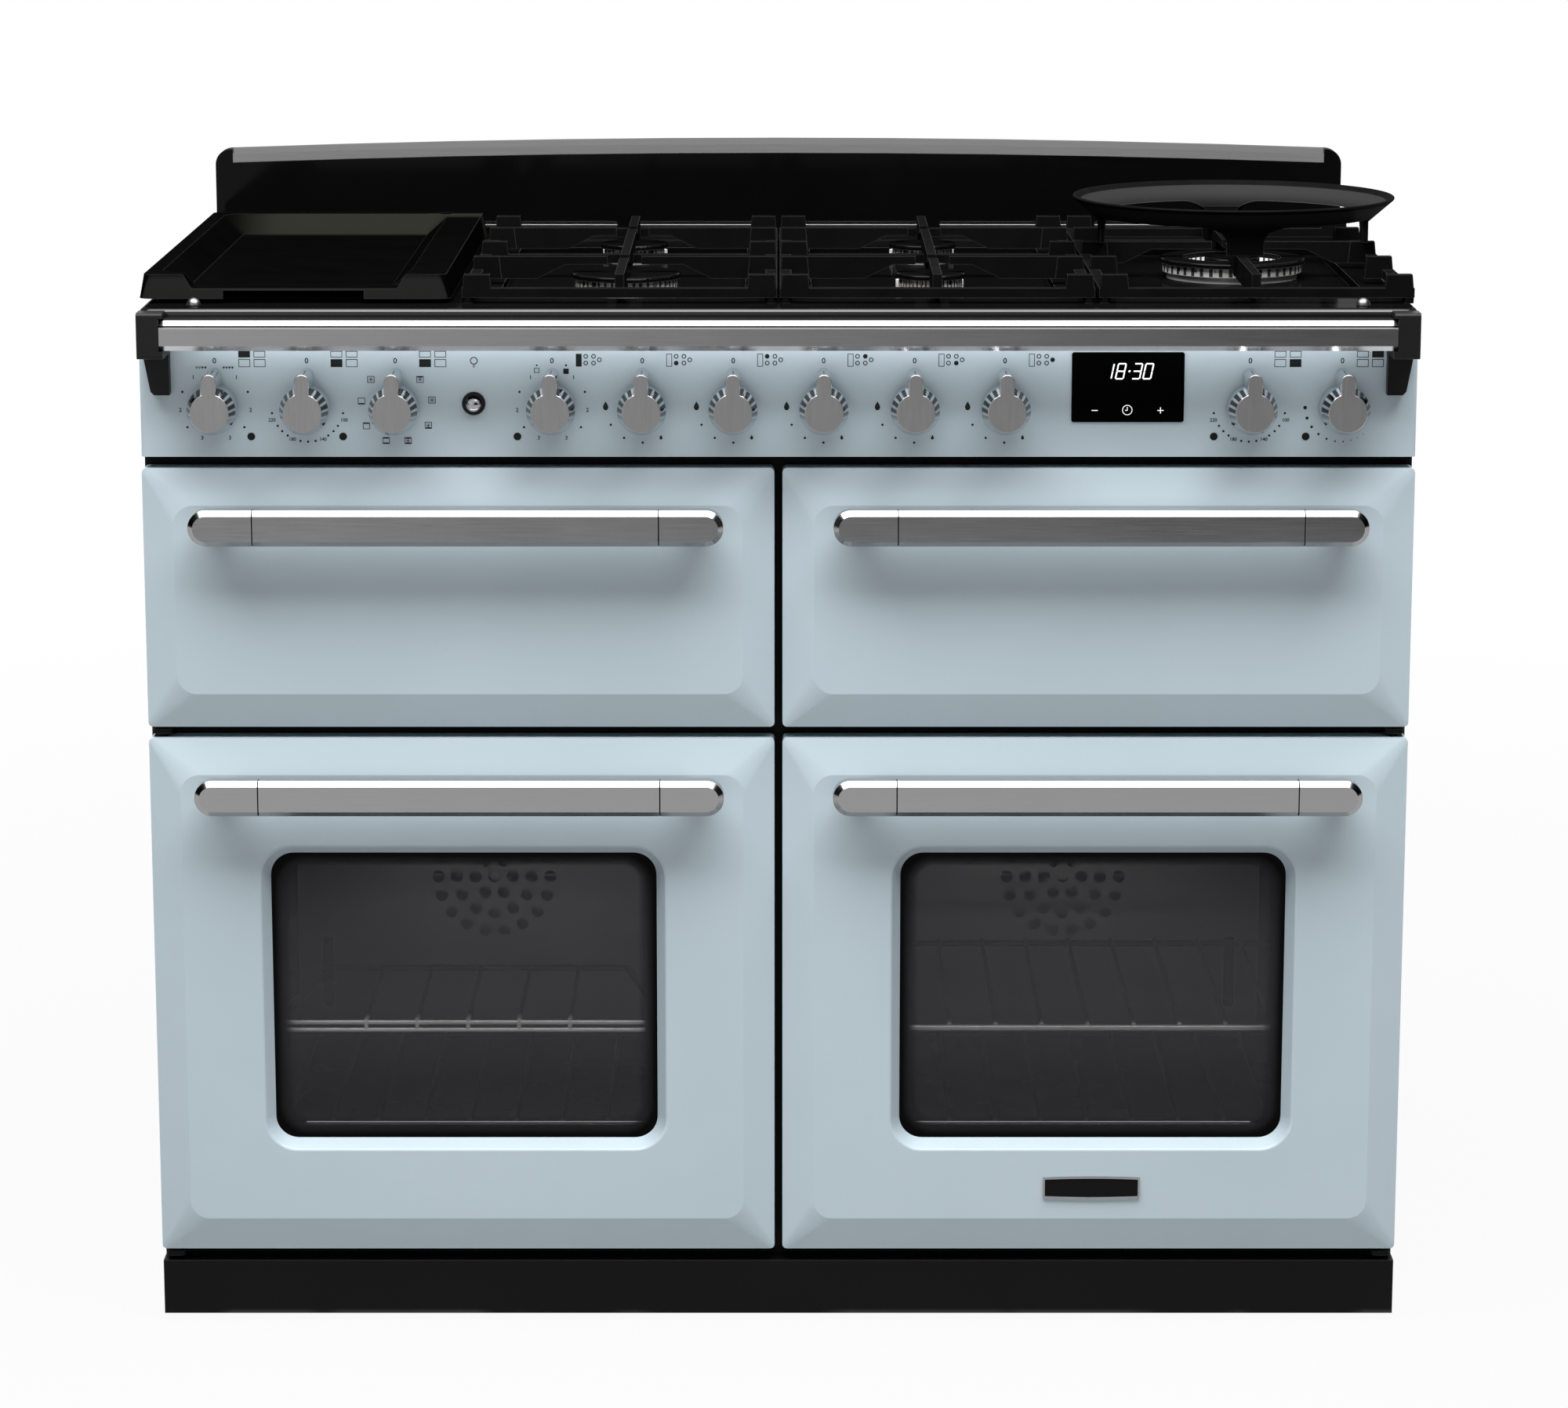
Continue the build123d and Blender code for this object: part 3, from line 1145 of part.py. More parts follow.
def knob(x):
    """Knob with a collar, a tapered nose and a pointer tab, on its spindle."""
    y0 = -KNOB_FRONT
    y1 = -KNOB_GAP
    back = front_plane(y1, x, KNOB_Z)
    front = front_plane(y0, x, KNOB_Z)
    collar = front_plane(y0 + KNOB_COLLAR, x, KNOB_Z)
    body = loft([back * Circle(KNOB_FOOT_R), collar * Circle(KNOB_R)])
    body += loft([collar * Circle(KNOB_R), front * Circle(KNOB_FACE_R)])
    tab_l = KNOB_TAB_L - KNOB_TAB_W / 2
    tab = Pos(0, tab_l / 2) * Rectangle(KNOB_TAB_W, tab_l) + Pos(0, tab_l) * Circle(KNOB_TAB_W / 2)
    body += extrude(back * tab, y1 - y0)
    body = fillet(body.faces().sort_by(Axis.Y)[0].edges(), KNOB_EDGE)
    body -= tube_y(x, KNOB_Z, y1 - KNOB_SOCKET, y1, SPINDLE_R)
    return body, tube_y(x, KNOB_Z, y1 - KNOB_SOCKET, SPINDLE_BACK, SPINDLE_R)


def control_switch(x):
    """Electric switch or thermostat body with its neck behind the fascia."""
    body = tube_y(x, KNOB_Z, SWITCH_Y0, SWITCH_Y1, SWITCH_R)
    body += tube_y(x, KNOB_Z, SHEET, SWITCH_Y0, NECK_R)
    return body - tube_y(x, KNOB_Z, SHEET, SPINDLE_BACK + SHEET, SPINDLE_R + RUN_GAP)


def gas_tap(x):
    """Brass tap body on the gas rail with its neck behind the fascia."""
    body = block(x - TAP_W / 2, x + TAP_W / 2, SWITCH_Y0, TAP_Y1, TAP_Z0, TAP_Z1)
    body = fillet(body.edges().filter_by(Axis.Z), EDGE_R)
    body += tube_y(x, KNOB_Z, SHEET, SWITCH_Y0, NECK_R)
    return body - tube_y(x, KNOB_Z, SHEET, SPINDLE_BACK + SHEET, SPINDLE_R + RUN_GAP)


def gas_rail():
    """Square gas rail, its supply pipe and the threaded inlet at the back."""
    x0 = KNOB_X[GAS_FIRST] - GAS_RAIL_END
    x1 = KNOB_X[GAS_LAST] + GAS_RAIL_END
    y0 = TAP_Y1
    y1 = y0 + GAS_RAIL
    z = GAS_RAIL_Z0 + GAS_RAIL / 2
    rail = block(x0, x1, y0, y1, GAS_RAIL_Z0, GAS_RAIL_Z0 + GAS_RAIL)
    rail -= block(x0 + GAS_WALL, x1 - GAS_WALL, y0 + GAS_WALL, y1 - GAS_WALL, GAS_RAIL_Z0 + GAS_WALL,
                  GAS_RAIL_Z0 + GAS_RAIL - GAS_WALL)
    y = (y0 + y1) / 2
    nut_y = BACK_Y - SHEET - SEAT_GAP - INLET_NUT_L
    supply = pipe([(x1, y, z), (INLET_X, y, z), (INLET_X, nut_y, z)], SUPPLY_R, SUPPLY_BEND)
    hexagon = front_plane(nut_y + INLET_NUT_L, INLET_X, z) * RegularPolygon(INLET_NUT_R, 6)
    nut = extrude(hexagon, INLET_NUT_L)
    inlet = tube_y(INLET_X, z, nut_y + INLET_NUT_L, BACK_Y + INLET_L, INLET_R)
    inlet -= tube_y(INLET_X, z, BACK_Y, BACK_Y + INLET_L, SUPPLY_R)
    return rail, supply + nut + inlet


def feed_pipe(tap_x, x, y):
    """Aluminium pipe from a tap to its burner cup."""
    level = FEED_REAR_Z if y > WOK_Y else FEED_FRONT_Z
    end_z = WELL_FLOOR - CUP_NECK_H
    points = [(tap_x, FEED_Y, TAP_Z1), (tap_x, FEED_Y, level), (x, y, level), (x, y, end_z)]
    return pipe(points, FEED_R, FEED_BEND)


# Ovens

def fan_wheel(side):
    """Fan wheel with straight blades on its shaft."""
    x = side * FRONT_MID
    y1 = OVEN_BACK - SHEET - FAN_BACK
    z = OVEN_MID_Z
    disc_y0 = y1 - FAN_DISC_T
    parts = [tube_y(x, z, disc_y0 - FAN_BLADE_W, y1, FAN_HUB_R)]
    parts.append(tube_y(x, z, y1, y1 + FAN_SHAFT_L, FAN_SHAFT_R))
    for i in range(FAN_BLADES):
        half = FAN_BLADE_T / 2
        blade = block(FAN_BLADE_R0, FAN_R, disc_y0 - FAN_BLADE_W, disc_y0, -half, half)
        parts.append(Pos(x, 0, z) * Rot(0, i * 360 / FAN_BLADES, 0) * blade)
    return fuse(tube_y(x, z, disc_y0, y1, FAN_R), parts)


def fan_motor(side):
    """Motor behind the oven back with the bore of the fan shaft."""
    x = side * FRONT_MID
    body = tube_y(x, OVEN_MID_Z, OVEN_BACK, OVEN_BACK + MOTOR_L, MOTOR_R)
    body = chamfer(body.edges().sort_by(Axis.Y)[-1], EDGE_R)
    return body - tube_y(x, OVEN_MID_Z, OVEN_BACK, OVEN_BACK + FAN_SHAFT_L, FAN_SHAFT_R + RUN_GAP)


def ring_element(side):
    """Ring element round the fan with two legs to the oven back."""
    x = side * FRONT_MID
    y = OVEN_BACK - SHEET - RING_Y
    ring = Pos(x, y, OVEN_MID_Z) * Rot(90, 0, 0) * Torus(RING_R, RING_ROD)
    legs = [tube_y(x + way * RING_R, OVEN_MID_Z, y, OVEN_BACK - SHEET, RING_ROD - SHEET) for way in (-1, 1)]
    return fuse(ring, legs)


def fan_baffle(side):
    """Perforated cover over the fan, standing on the oven back."""
    x = side * FRONT_MID
    y1 = OVEN_BACK - SHEET
    y0 = y1 - BAFFLE_D
    shell = plate(BAFFLE_W, BAFFLE_H, BAFFLE_R, x, OVEN_MID_Z, y0, y1)
    shell -= plate(BAFFLE_W - 2 * SHEET, BAFFLE_H - 2 * SHEET, BAFFLE_R - SHEET, x, OVEN_MID_Z,
                   y0 + SHEET, y1)
    cuts = []
    for ring_r, count in BAFFLE_RINGS:
        for i in range(count):
            turn = 2 * math.pi * i / count
            cuts.append(tube_y(x + ring_r * math.cos(turn), OVEN_MID_Z + ring_r * math.sin(turn), y0,
                               y0 + SHEET, BAFFLE_HOLE))
    for way in (-1, 1):
        for z in (OVEN_MID_Z - BAFFLE_SLOT_Z, OVEN_MID_Z + BAFFLE_SLOT_Z):
            sx = x + way * (BAFFLE_W / 2 - BAFFLE_SLOT_IN)
            cuts.append(plate(BAFFLE_SLOT_W, BAFFLE_SLOT_H, BAFFLE_SLOT_W / 3, sx, z, y0, y0 + SHEET))
    return shell - cuts


def ladder(side, way):
    """Wire side rack: two uprights with a rung at each shelf level."""
    wall = side * FRONT_MID + way * OVEN_W / 2
    x = wall - way * (LADDER_ROD + SEAT_GAP)
    xr = x - way * RUNG_STEP
    posts = [disc(x, y, LADDER_Z0, LADDER_Z1, LADDER_ROD) for y in (LADDER_Y0, LADDER_Y1)]
    rungs = [tube_y(xr, z, RUNG_Y0, RUNG_Y1, RUNG_ROD) for z in RUNG_Z]
    return fuse(posts[0], posts[1:] + rungs)


def shelf(side, level):
    """Wire shelf resting on two rungs."""
    x0 = side * FRONT_MID - OVEN_W / 2 + SHELF_IN
    x1 = side * FRONT_MID + OVEN_W / 2 - SHELF_IN
    z = RUNG_Z[level] + RUNG_ROD + SHELF_ROD
    sides = [tube_y(x, z, SHELF_Y0, SHELF_Y1, SHELF_ROD) for x in (x0, x1)]
    ends = [rod((x0, y, z), (x1, y, z), SHELF_ROD) for y in (SHELF_Y0, SHELF_Y1)]
    wires = []
    for i in range(SHELF_WIRES):
        x = x0 + (i + 1) * (x1 - x0) / (SHELF_WIRES + 1)
        wires.append(tube_y(x, z + SHELF_ROD, SHELF_Y0, SHELF_Y1, SHELF_WIRE))
    balls = [Pos(x, y, z) * Sphere(SHELF_ROD) for x in (x0, x1) for y in (SHELF_Y0, SHELF_Y1)]
    return fuse(sides[0], sides[1:] + ends + wires + balls)


def door_rack():
    """Wire rack that hangs on the inside of the left oven door and narrows away from it."""
    x = -FRONT_MID
    y0 = FRONT_DEPTH
    arms = []
    for way in (-1, 1):
        near = x + way * RACK_W0 / 2
        far = x + way * RACK_W1 / 2
        arms.append(rod((near, y0 + RACK_PLATE_T / 2, RACK_Z), (far, RACK_Y1, RACK_Z), RACK_ROD))
        arms.append(Pos(far, RACK_Y1, RACK_Z) * Sphere(RACK_ROD))
        arms.append(plate(RACK_PLATE_W, RACK_PLATE_H, RACK_PLATE_T, near, RACK_Z, y0, y0 + RACK_PLATE_T))
    arms.append(rod((x - RACK_W1 / 2, RACK_Y1, RACK_Z), (x + RACK_W1 / 2, RACK_Y1, RACK_Z), RACK_ROD))
    lean = (RACK_W0 - RACK_W1) / 2 * RACK_GUARD_Y / (RACK_Y1 - y0)
    half = RACK_W0 / 2 - lean
    y = y0 + RACK_GUARD_Y
    arms.append(rod((x - half, y, RACK_Z), (x + half, y, RACK_Z), RACK_WIRE))
    for i in range(RACK_WIRES):
        wx = x + (i - (RACK_WIRES - 1) / 2) * RACK_W1 / (RACK_WIRES + 1)
        arms.append(tube_y(wx, RACK_Z, y, RACK_Y1, RACK_WIRE))
        arms.append(disc(wx, y, RACK_Z - RACK_GUARD, RACK_Z + RACK_GUARD / 2, RACK_WIRE))
    arms.append(rod((x - half, y, RACK_Z - RACK_GUARD), (x + half, y, RACK_Z - RACK_GUARD), RACK_WIRE))
    return fuse(arms[0], arms[1:])


# Grill and drawer

def channel(side, way):
    """Fixed runner channel on a chamber wall, open towards the middle."""
    wall = side * FRONT_MID + way * UPPER_W / 2
    inner = wall - way * CHANNEL_W
    z0 = CHAMBER_Z0 + CHANNEL_Z
    z1 = z0 + CHANNEL_H
    web = wall - way * CHANNEL_T
    lip = inner + way * CHANNEL_T
    outline = Polyline(
        (wall, z0), (wall, z1), (inner, z1), (inner, z1 - CHANNEL_LIP), (lip, z1 - CHANNEL_LIP),
        (lip, z1 - CHANNEL_T), (web, z1 - CHANNEL_T), (web, z0 + CHANNEL_T), (lip, z0 + CHANNEL_T),
        (lip, z0 + CHANNEL_LIP), (inner, z0 + CHANNEL_LIP), (inner, z0), close=True)
    y1 = CHANNEL_Y0 + CHANNEL_L
    return extrude(front_plane(y1) * make_face(outline), CHANNEL_L)


def slider(side, way):
    """T-shaped moving runner: head inside the channel, web out between its lips."""
    wall = side * FRONT_MID + way * UPPER_W / 2
    inner = wall - way * (CHANNEL_W + SLIDER_WEB)
    head0 = wall - way * (CHANNEL_T + SEAT_GAP)
    head1 = head0 - way * SLIDER_T
    z0 = CHAMBER_Z0 + CHANNEL_Z
    low = z0 + CHANNEL_T + SEAT_GAP
    high = z0 + CHANNEL_H - CHANNEL_T - SEAT_GAP
    web0 = z0 + CHANNEL_LIP + SHEET
    web1 = z0 + CHANNEL_H - CHANNEL_LIP - SHEET
    outline = Polyline(
        (head0, low), (head0, high), (head1, high), (head1, web1), (inner, web1), (inner, web0),
        (head1, web0), (head1, low), close=True)
    y1 = FRONT_DEPTH + SLIDER_L
    return extrude(front_plane(y1) * make_face(outline), SLIDER_L)


def slider_inner(side, way):
    """Inner face of a slider web."""
    return side * FRONT_MID + way * (UPPER_W / 2 - CHANNEL_W - SLIDER_WEB)


def grill_frame(side):
    """Grill carriage: sliders with pan ledges, front plate and rear rod."""
    web0 = CHAMBER_Z0 + CHANNEL_Z + CHANNEL_LIP + SHEET
    parts = []
    for way in (-1, 1):
        x = slider_inner(side, way)
        parts.append(slider(side, way))
        parts.append(block(x, x - way * LEDGE_W, FRONT_DEPTH, FRONT_DEPTH + SLIDER_L, web0, web0 + LEDGE_T))
    x0 = slider_inner(side, -1)
    x1 = slider_inner(side, 1)
    web1 = CHAMBER_Z0 + CHANNEL_Z + CHANNEL_H - CHANNEL_LIP - SHEET
    parts.append(block(x0, x1, FRONT_DEPTH, FRONT_DEPTH + LEDGE_T, web0, web1))
    y = FRONT_DEPTH + SLIDER_L - LEDGE_T
    parts.append(block(x0, x1, y, y + LEDGE_T, web0, web1))
    return fuse(parts[0], parts[1:])


def grill_pan(side):
    """Pressed grill pan lying on the ledges of the carriage."""
    z0 = CHAMBER_Z0 + CHANNEL_Z + CHANNEL_LIP + SHEET + LEDGE_T
    width = slider_inner(side, 1) - slider_inner(side, -1) - 2 * PAN_GAP
    depth = PAN_Y1 - PAN_Y0
    x = side * FRONT_MID
    y = (PAN_Y0 + PAN_Y1) / 2
    pan = slab(width, depth, PAN_R, x, y, z0, z0 + PAN_H)
    pan = fillet(pan.faces().sort_by(Axis.Z)[0].edges(), PAN_T + PAN_T)
    hollow = slab(width - 2 * PAN_T, depth - 2 * PAN_T, PAN_R - PAN_T, x, y, z0 + PAN_T, z0 + PAN_H)
    hollow = fillet(hollow.faces().sort_by(Axis.Z)[0].edges(), PAN_T)
    return pan - hollow


def trivet(side):
    """Wire trivet standing in the grill pan."""
    z0 = CHAMBER_Z0 + CHANNEL_Z + CHANNEL_LIP + SHEET + LEDGE_T + PAN_T
    z = z0 + TRIVET_H
    half = (slider_inner(side, 1) - slider_inner(side, -1)) / 2 - PAN_GAP - TRIVET_IN
    x = side * FRONT_MID
    y0 = PAN_Y0 + TRIVET_IN
    y1 = PAN_Y1 - TRIVET_IN
    parts = []
    for way in (-1, 1):
        parts.append(tube_y(x + way * half, z, y0, y1, TRIVET_ROD))
    for i in range(TRIVET_WIRES):
        y = y0 + TRIVET_ROD + i * (y1 - y0 - 2 * TRIVET_ROD) / (TRIVET_WIRES - 1)
        parts.append(rod((x - half, y, z), (x + half, y, z), TRIVET_ROD - SHEET / 2))
    for lx in (x - half, x + half):
        for ly in (y0 + TRIVET_IN, y1 - TRIVET_IN):
            parts.append(disc(lx, ly, z0, z, TRIVET_ROD - SHEET / 2))
    return fuse(parts[0], parts[1:])


def drawer_box(side):
    """Open-topped drawer of welded sheets on two sliders."""
    x0 = slider_inner(side, -1) + WELD_GAP
    x1 = slider_inner(side, 1) - WELD_GAP
    z0 = CHAMBER_Z0 + DRAWER_LIFT
    y0 = FRONT_DEPTH
    y1 = FRONT_DEPTH + SLIDER_L
    z1 = z0 + DRAWER_H
    inner_x0 = x0 + PAN_T + WELD_GAP
    inner_x1 = x1 - PAN_T - WELD_GAP
    foot = z0 + PAN_T + WELD_GAP
    sheets = [
        block(inner_x0, inner_x1, y0, y1, z0, z0 + PAN_T),
        block(x0, x0 + PAN_T, y0, y1, z0, z1),
        block(x1 - PAN_T, x1, y0, y1, z0, z1),
        block(inner_x0, inner_x1, y0, y0 + PAN_T, foot, z1),
        block(inner_x0, inner_x1, y1 - PAN_T, y1, foot, z1)]
    return sheets + [slider(side, way) for way in (-1, 1)]


def grill_element(way):
    """Bent grill element under the roof of the grill chamber."""
    x_mid = -FRONT_MID + way * UPPER_W / 4
    z = CHAMBER_Z1 - ELEMENT_DROP
    back = FRAME_BACK + UPPER_DEPTH - SHEET
    pitch = ELEMENT_W / (ELEMENT_RUNS - 1)
    points = []
    for i in range(ELEMENT_RUNS):
        x = x_mid - ELEMENT_W / 2 + i * pitch
        far = back if i in (0, ELEMENT_RUNS - 1) else back - ELEMENT_Y0
        run = [(x, far, z), (x, ELEMENT_Y0, z)]
        points += run if i % 2 == 0 else run[::-1]
    return pipe(points, ELEMENT_ROD, ELEMENT_BEND)


# Write the nodes

save("side_panels", side_panel(-1), side_panel(1))
save("back_panel", back_panel(), terminal_cover(), cable_gland())
save("base_tray", base_tray())
save("front_frame", front_frame())
save("oven_liners", oven_liner(-1), oven_liner(1))
save("upper_chambers", upper_chamber(-1), upper_chamber(1))
save("plinth", plinth())
foot_x = HALF - FOOT_INSET_X
foot_y = (FOOT_FRONT_Y, FOOT_BACK_Y)
save("levelling_feet", *[levelling_foot(x, y) for x in (-foot_x, foot_x) for y in foot_y])

for side, name in ((-1, "left"), (1, "right")):
    save(f"oven_door_{name}", oven_door(side))
    save(f"door_liner_{name}", door_liner(side), door_seal(side))
    save(f"door_glass_{name}", *panes(side))
    save(f"oven_handle_{name}", *handle(side, LOWER_HANDLE_Z))
    save(f"oven_fan_{name}", fan_wheel(side))
save("door_rack", door_rack())
hinge_rows = ((PLINTH_Z1 + PLINTH_GAP / 2, 1), (LOWER_Z1 + FRONT_GAP / 2, -1))
save("hinge_brackets", *[hinge_bracket(s, z, way) for s in (-1, 1) for z, way in hinge_rows])

save("grill_front", *upper_front(-1))
save("grill_handle", *handle(-1, UPPER_HANDLE_Z))
save("grill_carriage", grill_frame(-1), grill_pan(-1), trivet(-1))
save("drawer_front", *upper_front(1))
save("drawer_handle", *handle(1, UPPER_HANDLE_Z))
save("drawer_box", *drawer_box(1))
save("runner_rails", *[channel(s, w) for s in (-1, 1) for w in (-1, 1)])
save("grill_element", grill_element(-1), grill_element(1))

save("handrail", handrail())
save("handrail_brackets", handrail_bracket(-1), handrail_bracket(1))
save("hob_tray", hob_tray())
save("splashback", splashback())
save("splashback_trim", splashback_trim())
save("ceramic_zone", *ceramic_zone())
save("griddle_plate", griddle_plate())
left_x0 = -GRATE_MID_GAP / 2 - GRATE_W
save("pan_supports", pan_support(left_x0, {FRONT_ROW: CAP_BIG_R, REAR_ROW: CAP_MID_R}),
     pan_support(GRATE_MID_GAP / 2, {FRONT_ROW: CAP_MID_R, REAR_ROW: CAP_MID_R}),
     pan_support(WOK_GRATE_X0, {WOK_Y: CAP_WOK_R}))
save("wok_ring", wok_ring())
save("burner_cups", *[burner_cup(*b) for b in burners()])
save("burner_heads", *[h for b in burners() for h in burner_head(*b)])
save("burner_caps", *[c for b in burners() for c in burner_cap(*b)])
save("burner_electrodes", *[e for x, y, r, kind in burners() for e in electrodes(x, y, r)])

save("fascia", fascia())
save("fascia_fittings", lamp_bezel(), *[neon_lens(x, z) for x, z in neon_places()])
save("lamp_button", lamp_button())
save("clock_display", clock_display())
for x, name in zip(KNOB_X, KNOB_NAMES):
    save(name, *knob(x))
gas_x = KNOB_X[GAS_FIRST:GAS_LAST + 1]
plain_x = [x for x in KNOB_X if x not in gas_x]
save("control_switches", lamp_switch(), *[control_switch(x) for x in plain_x])
feeds = [feed_pipe(tx, b[0], b[1]) for tx, b in zip(gas_x, burners())]
save("gas_rail", *gas_rail(), *[gas_tap(x) for x in gas_x], *feeds)

save("fan_units", *[make(s) for make in (fan_baffle, fan_motor, ring_element) for s in (-1, 1)])
ladders = [ladder(s, w) for s in (-1, 1) for w in (-1, 1)]
shelves = [shelf(s, level) for s in (-1, 1) for level in SHELF_LEVELS[s]]
save("oven_racks", *ladders, *shelves)
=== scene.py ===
import math

import bmesh
import bpy
from mathutils import Euler, Matrix, Vector


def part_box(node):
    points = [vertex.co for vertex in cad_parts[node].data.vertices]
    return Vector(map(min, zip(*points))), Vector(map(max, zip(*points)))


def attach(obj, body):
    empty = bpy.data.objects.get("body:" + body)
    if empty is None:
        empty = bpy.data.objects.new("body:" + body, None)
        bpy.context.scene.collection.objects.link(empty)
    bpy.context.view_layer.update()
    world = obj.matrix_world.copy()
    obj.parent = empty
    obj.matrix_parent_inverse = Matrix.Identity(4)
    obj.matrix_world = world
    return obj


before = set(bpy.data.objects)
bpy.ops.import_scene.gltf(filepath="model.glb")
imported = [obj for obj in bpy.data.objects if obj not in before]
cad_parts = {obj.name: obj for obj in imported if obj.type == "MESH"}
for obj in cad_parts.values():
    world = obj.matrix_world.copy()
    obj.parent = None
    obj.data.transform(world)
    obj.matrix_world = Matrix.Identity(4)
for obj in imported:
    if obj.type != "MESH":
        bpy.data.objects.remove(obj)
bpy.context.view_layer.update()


# The studio: a wide pale floor in a white surround, one large soft lamp high in front, a low weak one by
# the camera, and a thin strip behind the handrail for the fascia under it. A grey card, brighter on the
# left, and a dark flag on each side show only in polished metal and glass.
class Shade:
    """A socket of a node tree. Arithmetic on it adds Math nodes, node() adds any other node."""

    def __init__(self, tree, socket=None):
        self.tree = tree
        self.socket = socket

    def node(self, kind, settings, sockets, out=0):
        made = self.tree.nodes.new(kind)
        for name, value in settings.items():
            setattr(made, name, value)
        for name, value in sockets.items():
            if isinstance(value, Shade):
                self.tree.links.new(value.socket, made.inputs[name])
            else:
                made.inputs[name].default_value = value
        return Shade(self.tree, made.outputs[out])

    def maths(self, operation, *values):
        return self.node("ShaderNodeMath", {"operation": operation}, dict(enumerate(values)))

    def __add__(self, other):
        return self.maths("ADD", self, other)

    def __radd__(self, other):
        return self.maths("ADD", other, self)

    def __sub__(self, other):
        return self.maths("SUBTRACT", self, other)

    def __rsub__(self, other):
        return self.maths("SUBTRACT", other, self)

    def __mul__(self, other):
        return self.maths("MULTIPLY", self, other)

    def __rmul__(self, other):
        return self.maths("MULTIPLY", other, self)

    def __abs__(self):
        return self.maths("ABSOLUTE", self)

    def most(self, other):
        return self.maths("MAXIMUM", self, other)

    def sine(self):
        return self.maths("SINE", self)

    def reach(self, other):
        """How far a place is from the middle, from its two distances."""
        return self.maths("SQRT", self * self + other * other)

    def rise(self, start, end):
        return self.node("ShaderNodeMapRange", {"interpolation_type": "SMOOTHSTEP"},
                         {"Value": self, "From Min": start, "From Max": end})

    def grade(self, start, end, low, high):
        """A straight run from low at the start to high at the end."""
        return self.node("ShaderNodeMapRange", {}, {"Value": self, "From Min": start, "From Max": end,
                                                    "To Min": low, "To Max": high})

    def along(self, axis):
        return self.node("ShaderNodeSeparateXYZ", {}, {0: self}, axis)

    def show(self):
        """Makes this shader the one that its tree puts out."""
        output = next(node for node in self.tree.nodes if node.bl_idname.startswith("ShaderNodeOutput"))
        self.tree.links.new(self.socket, output.inputs["Surface"])


WHITE = (1, 1, 1, 1)
FLOOR_HALF = 14.0
FLOOR_GREY = (0.26, 0.26, 0.26, 1)
FLOOR_NEAR, FLOOR_FAR, FLOOR_NEAR_WHITE = 0.9, 3.2, 0.94
ROOM_LIGHT = 0.09
STUDIO_AIM, STRIP_GAP, STRIP_AIM = (0, -0.25, 0.6), 0.001, (0, 0.10, -0.06)
CARD_HEIGHTS, CARD_LOW_GLOW = (0.08, 0.45), 0.32
bpy.context.scene.view_settings.view_transform = "Standard"


def new_board(name, matrix):
    """A flat board of the studio, two metres square before its matrix, with a finish of its own."""
    mesh = bpy.data.meshes.new(name)
    draft = bmesh.new()
    bmesh.ops.create_grid(draft, x_segments=1, y_segments=1, size=1.0, matrix=matrix)
    draft.to_mesh(mesh)
    draft.free()
    board = bpy.data.objects.new(name, mesh)
    bpy.context.scene.collection.objects.link(board)
    material = bpy.data.materials.new(name)
    material.use_nodes = True
    mesh.materials.append(material)
    return board, Shade(material.node_tree).node("ShaderNodeTexCoord", {}, {}, "Object")


def looked_at(shade):
    """1 for what the camera sees, in a reflection or through glass too, and 0 for light on the object."""
    camera_ray, glossy_ray, glass_ray = (shade.node("ShaderNodeLightPath", {}, {}, "Is %s Ray" % ray)
                                         for ray in ("Camera", "Glossy", "Transmission"))
    return camera_ray.most(glossy_ray).most(glass_ray)


studio_floor, place = new_board("studio_floor", Matrix.Diagonal((FLOOR_HALF, FLOOR_HALF, 1, 1)))
from_middle = place.node("ShaderNodeVectorMath", {"operation": "LENGTH"}, {0: place}, "Value")
far_white = from_middle.grade(FLOOR_NEAR, FLOOR_FAR, FLOOR_NEAR_WHITE, 1.0)
matt = place.node("ShaderNodeBsdfDiffuse", {}, {"Color": FLOOR_GREY})
white = place.node("ShaderNodeEmission", {}, {"Strength": 1.0})
place.node("ShaderNodeMixShader", {}, {0: looked_at(place) * far_white, 1: matt, 2: white}).show()

surround = bpy.data.worlds.new("surround")
bpy.context.scene.world = surround
surround.use_nodes = True
air = Shade(surround.node_tree)
room = air.node("ShaderNodeBackground", {}, {"Color": WHITE, "Strength": ROOM_LIGHT})
shown = air.node("ShaderNodeBackground", {}, {"Color": WHITE, "Strength": 1.0})
air.node("ShaderNodeMixShader", {}, {0: looked_at(air), 1: room, 2: shown}).show()

rail_low, rail_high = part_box("handrail")
strip_at = Vector((0, rail_high.y + STRIP_GAP, (rail_low.z + rail_high.z) / 2))
for lamp_name, lamp_at, lamp_aim, lamp_size, lamp_watts in (
        ("key", (-0.1, -1.0, 3.4), STUDIO_AIM, (4.2, 2.4), 385.0),
        ("front_fill", (-0.3, -4.2, 0.5), STUDIO_AIM, (5.0, 0.9), 26.0),
        ("rail_shine", strip_at, strip_at + Vector(STRIP_AIM), (1.0, 0.018), 0.5)):
    lamp = bpy.data.lights.new(lamp_name, "AREA")
    lamp.shape = "RECTANGLE"
    lamp.size, lamp.size_y = lamp_size
    lamp.energy = lamp_watts
    lamp_object = bpy.data.objects.new(lamp_name, lamp)
    lamp_object.location = lamp_at
    aim = Vector(lamp_aim) - Vector(lamp_at)
    lamp_object.rotation_euler = aim.to_track_quat("-Z", "Y").to_euler()
    lamp_object.visible_camera = False
    lamp_object.visible_glossy = lamp_name == "key"
    bpy.context.scene.collection.objects.link(lamp_object)

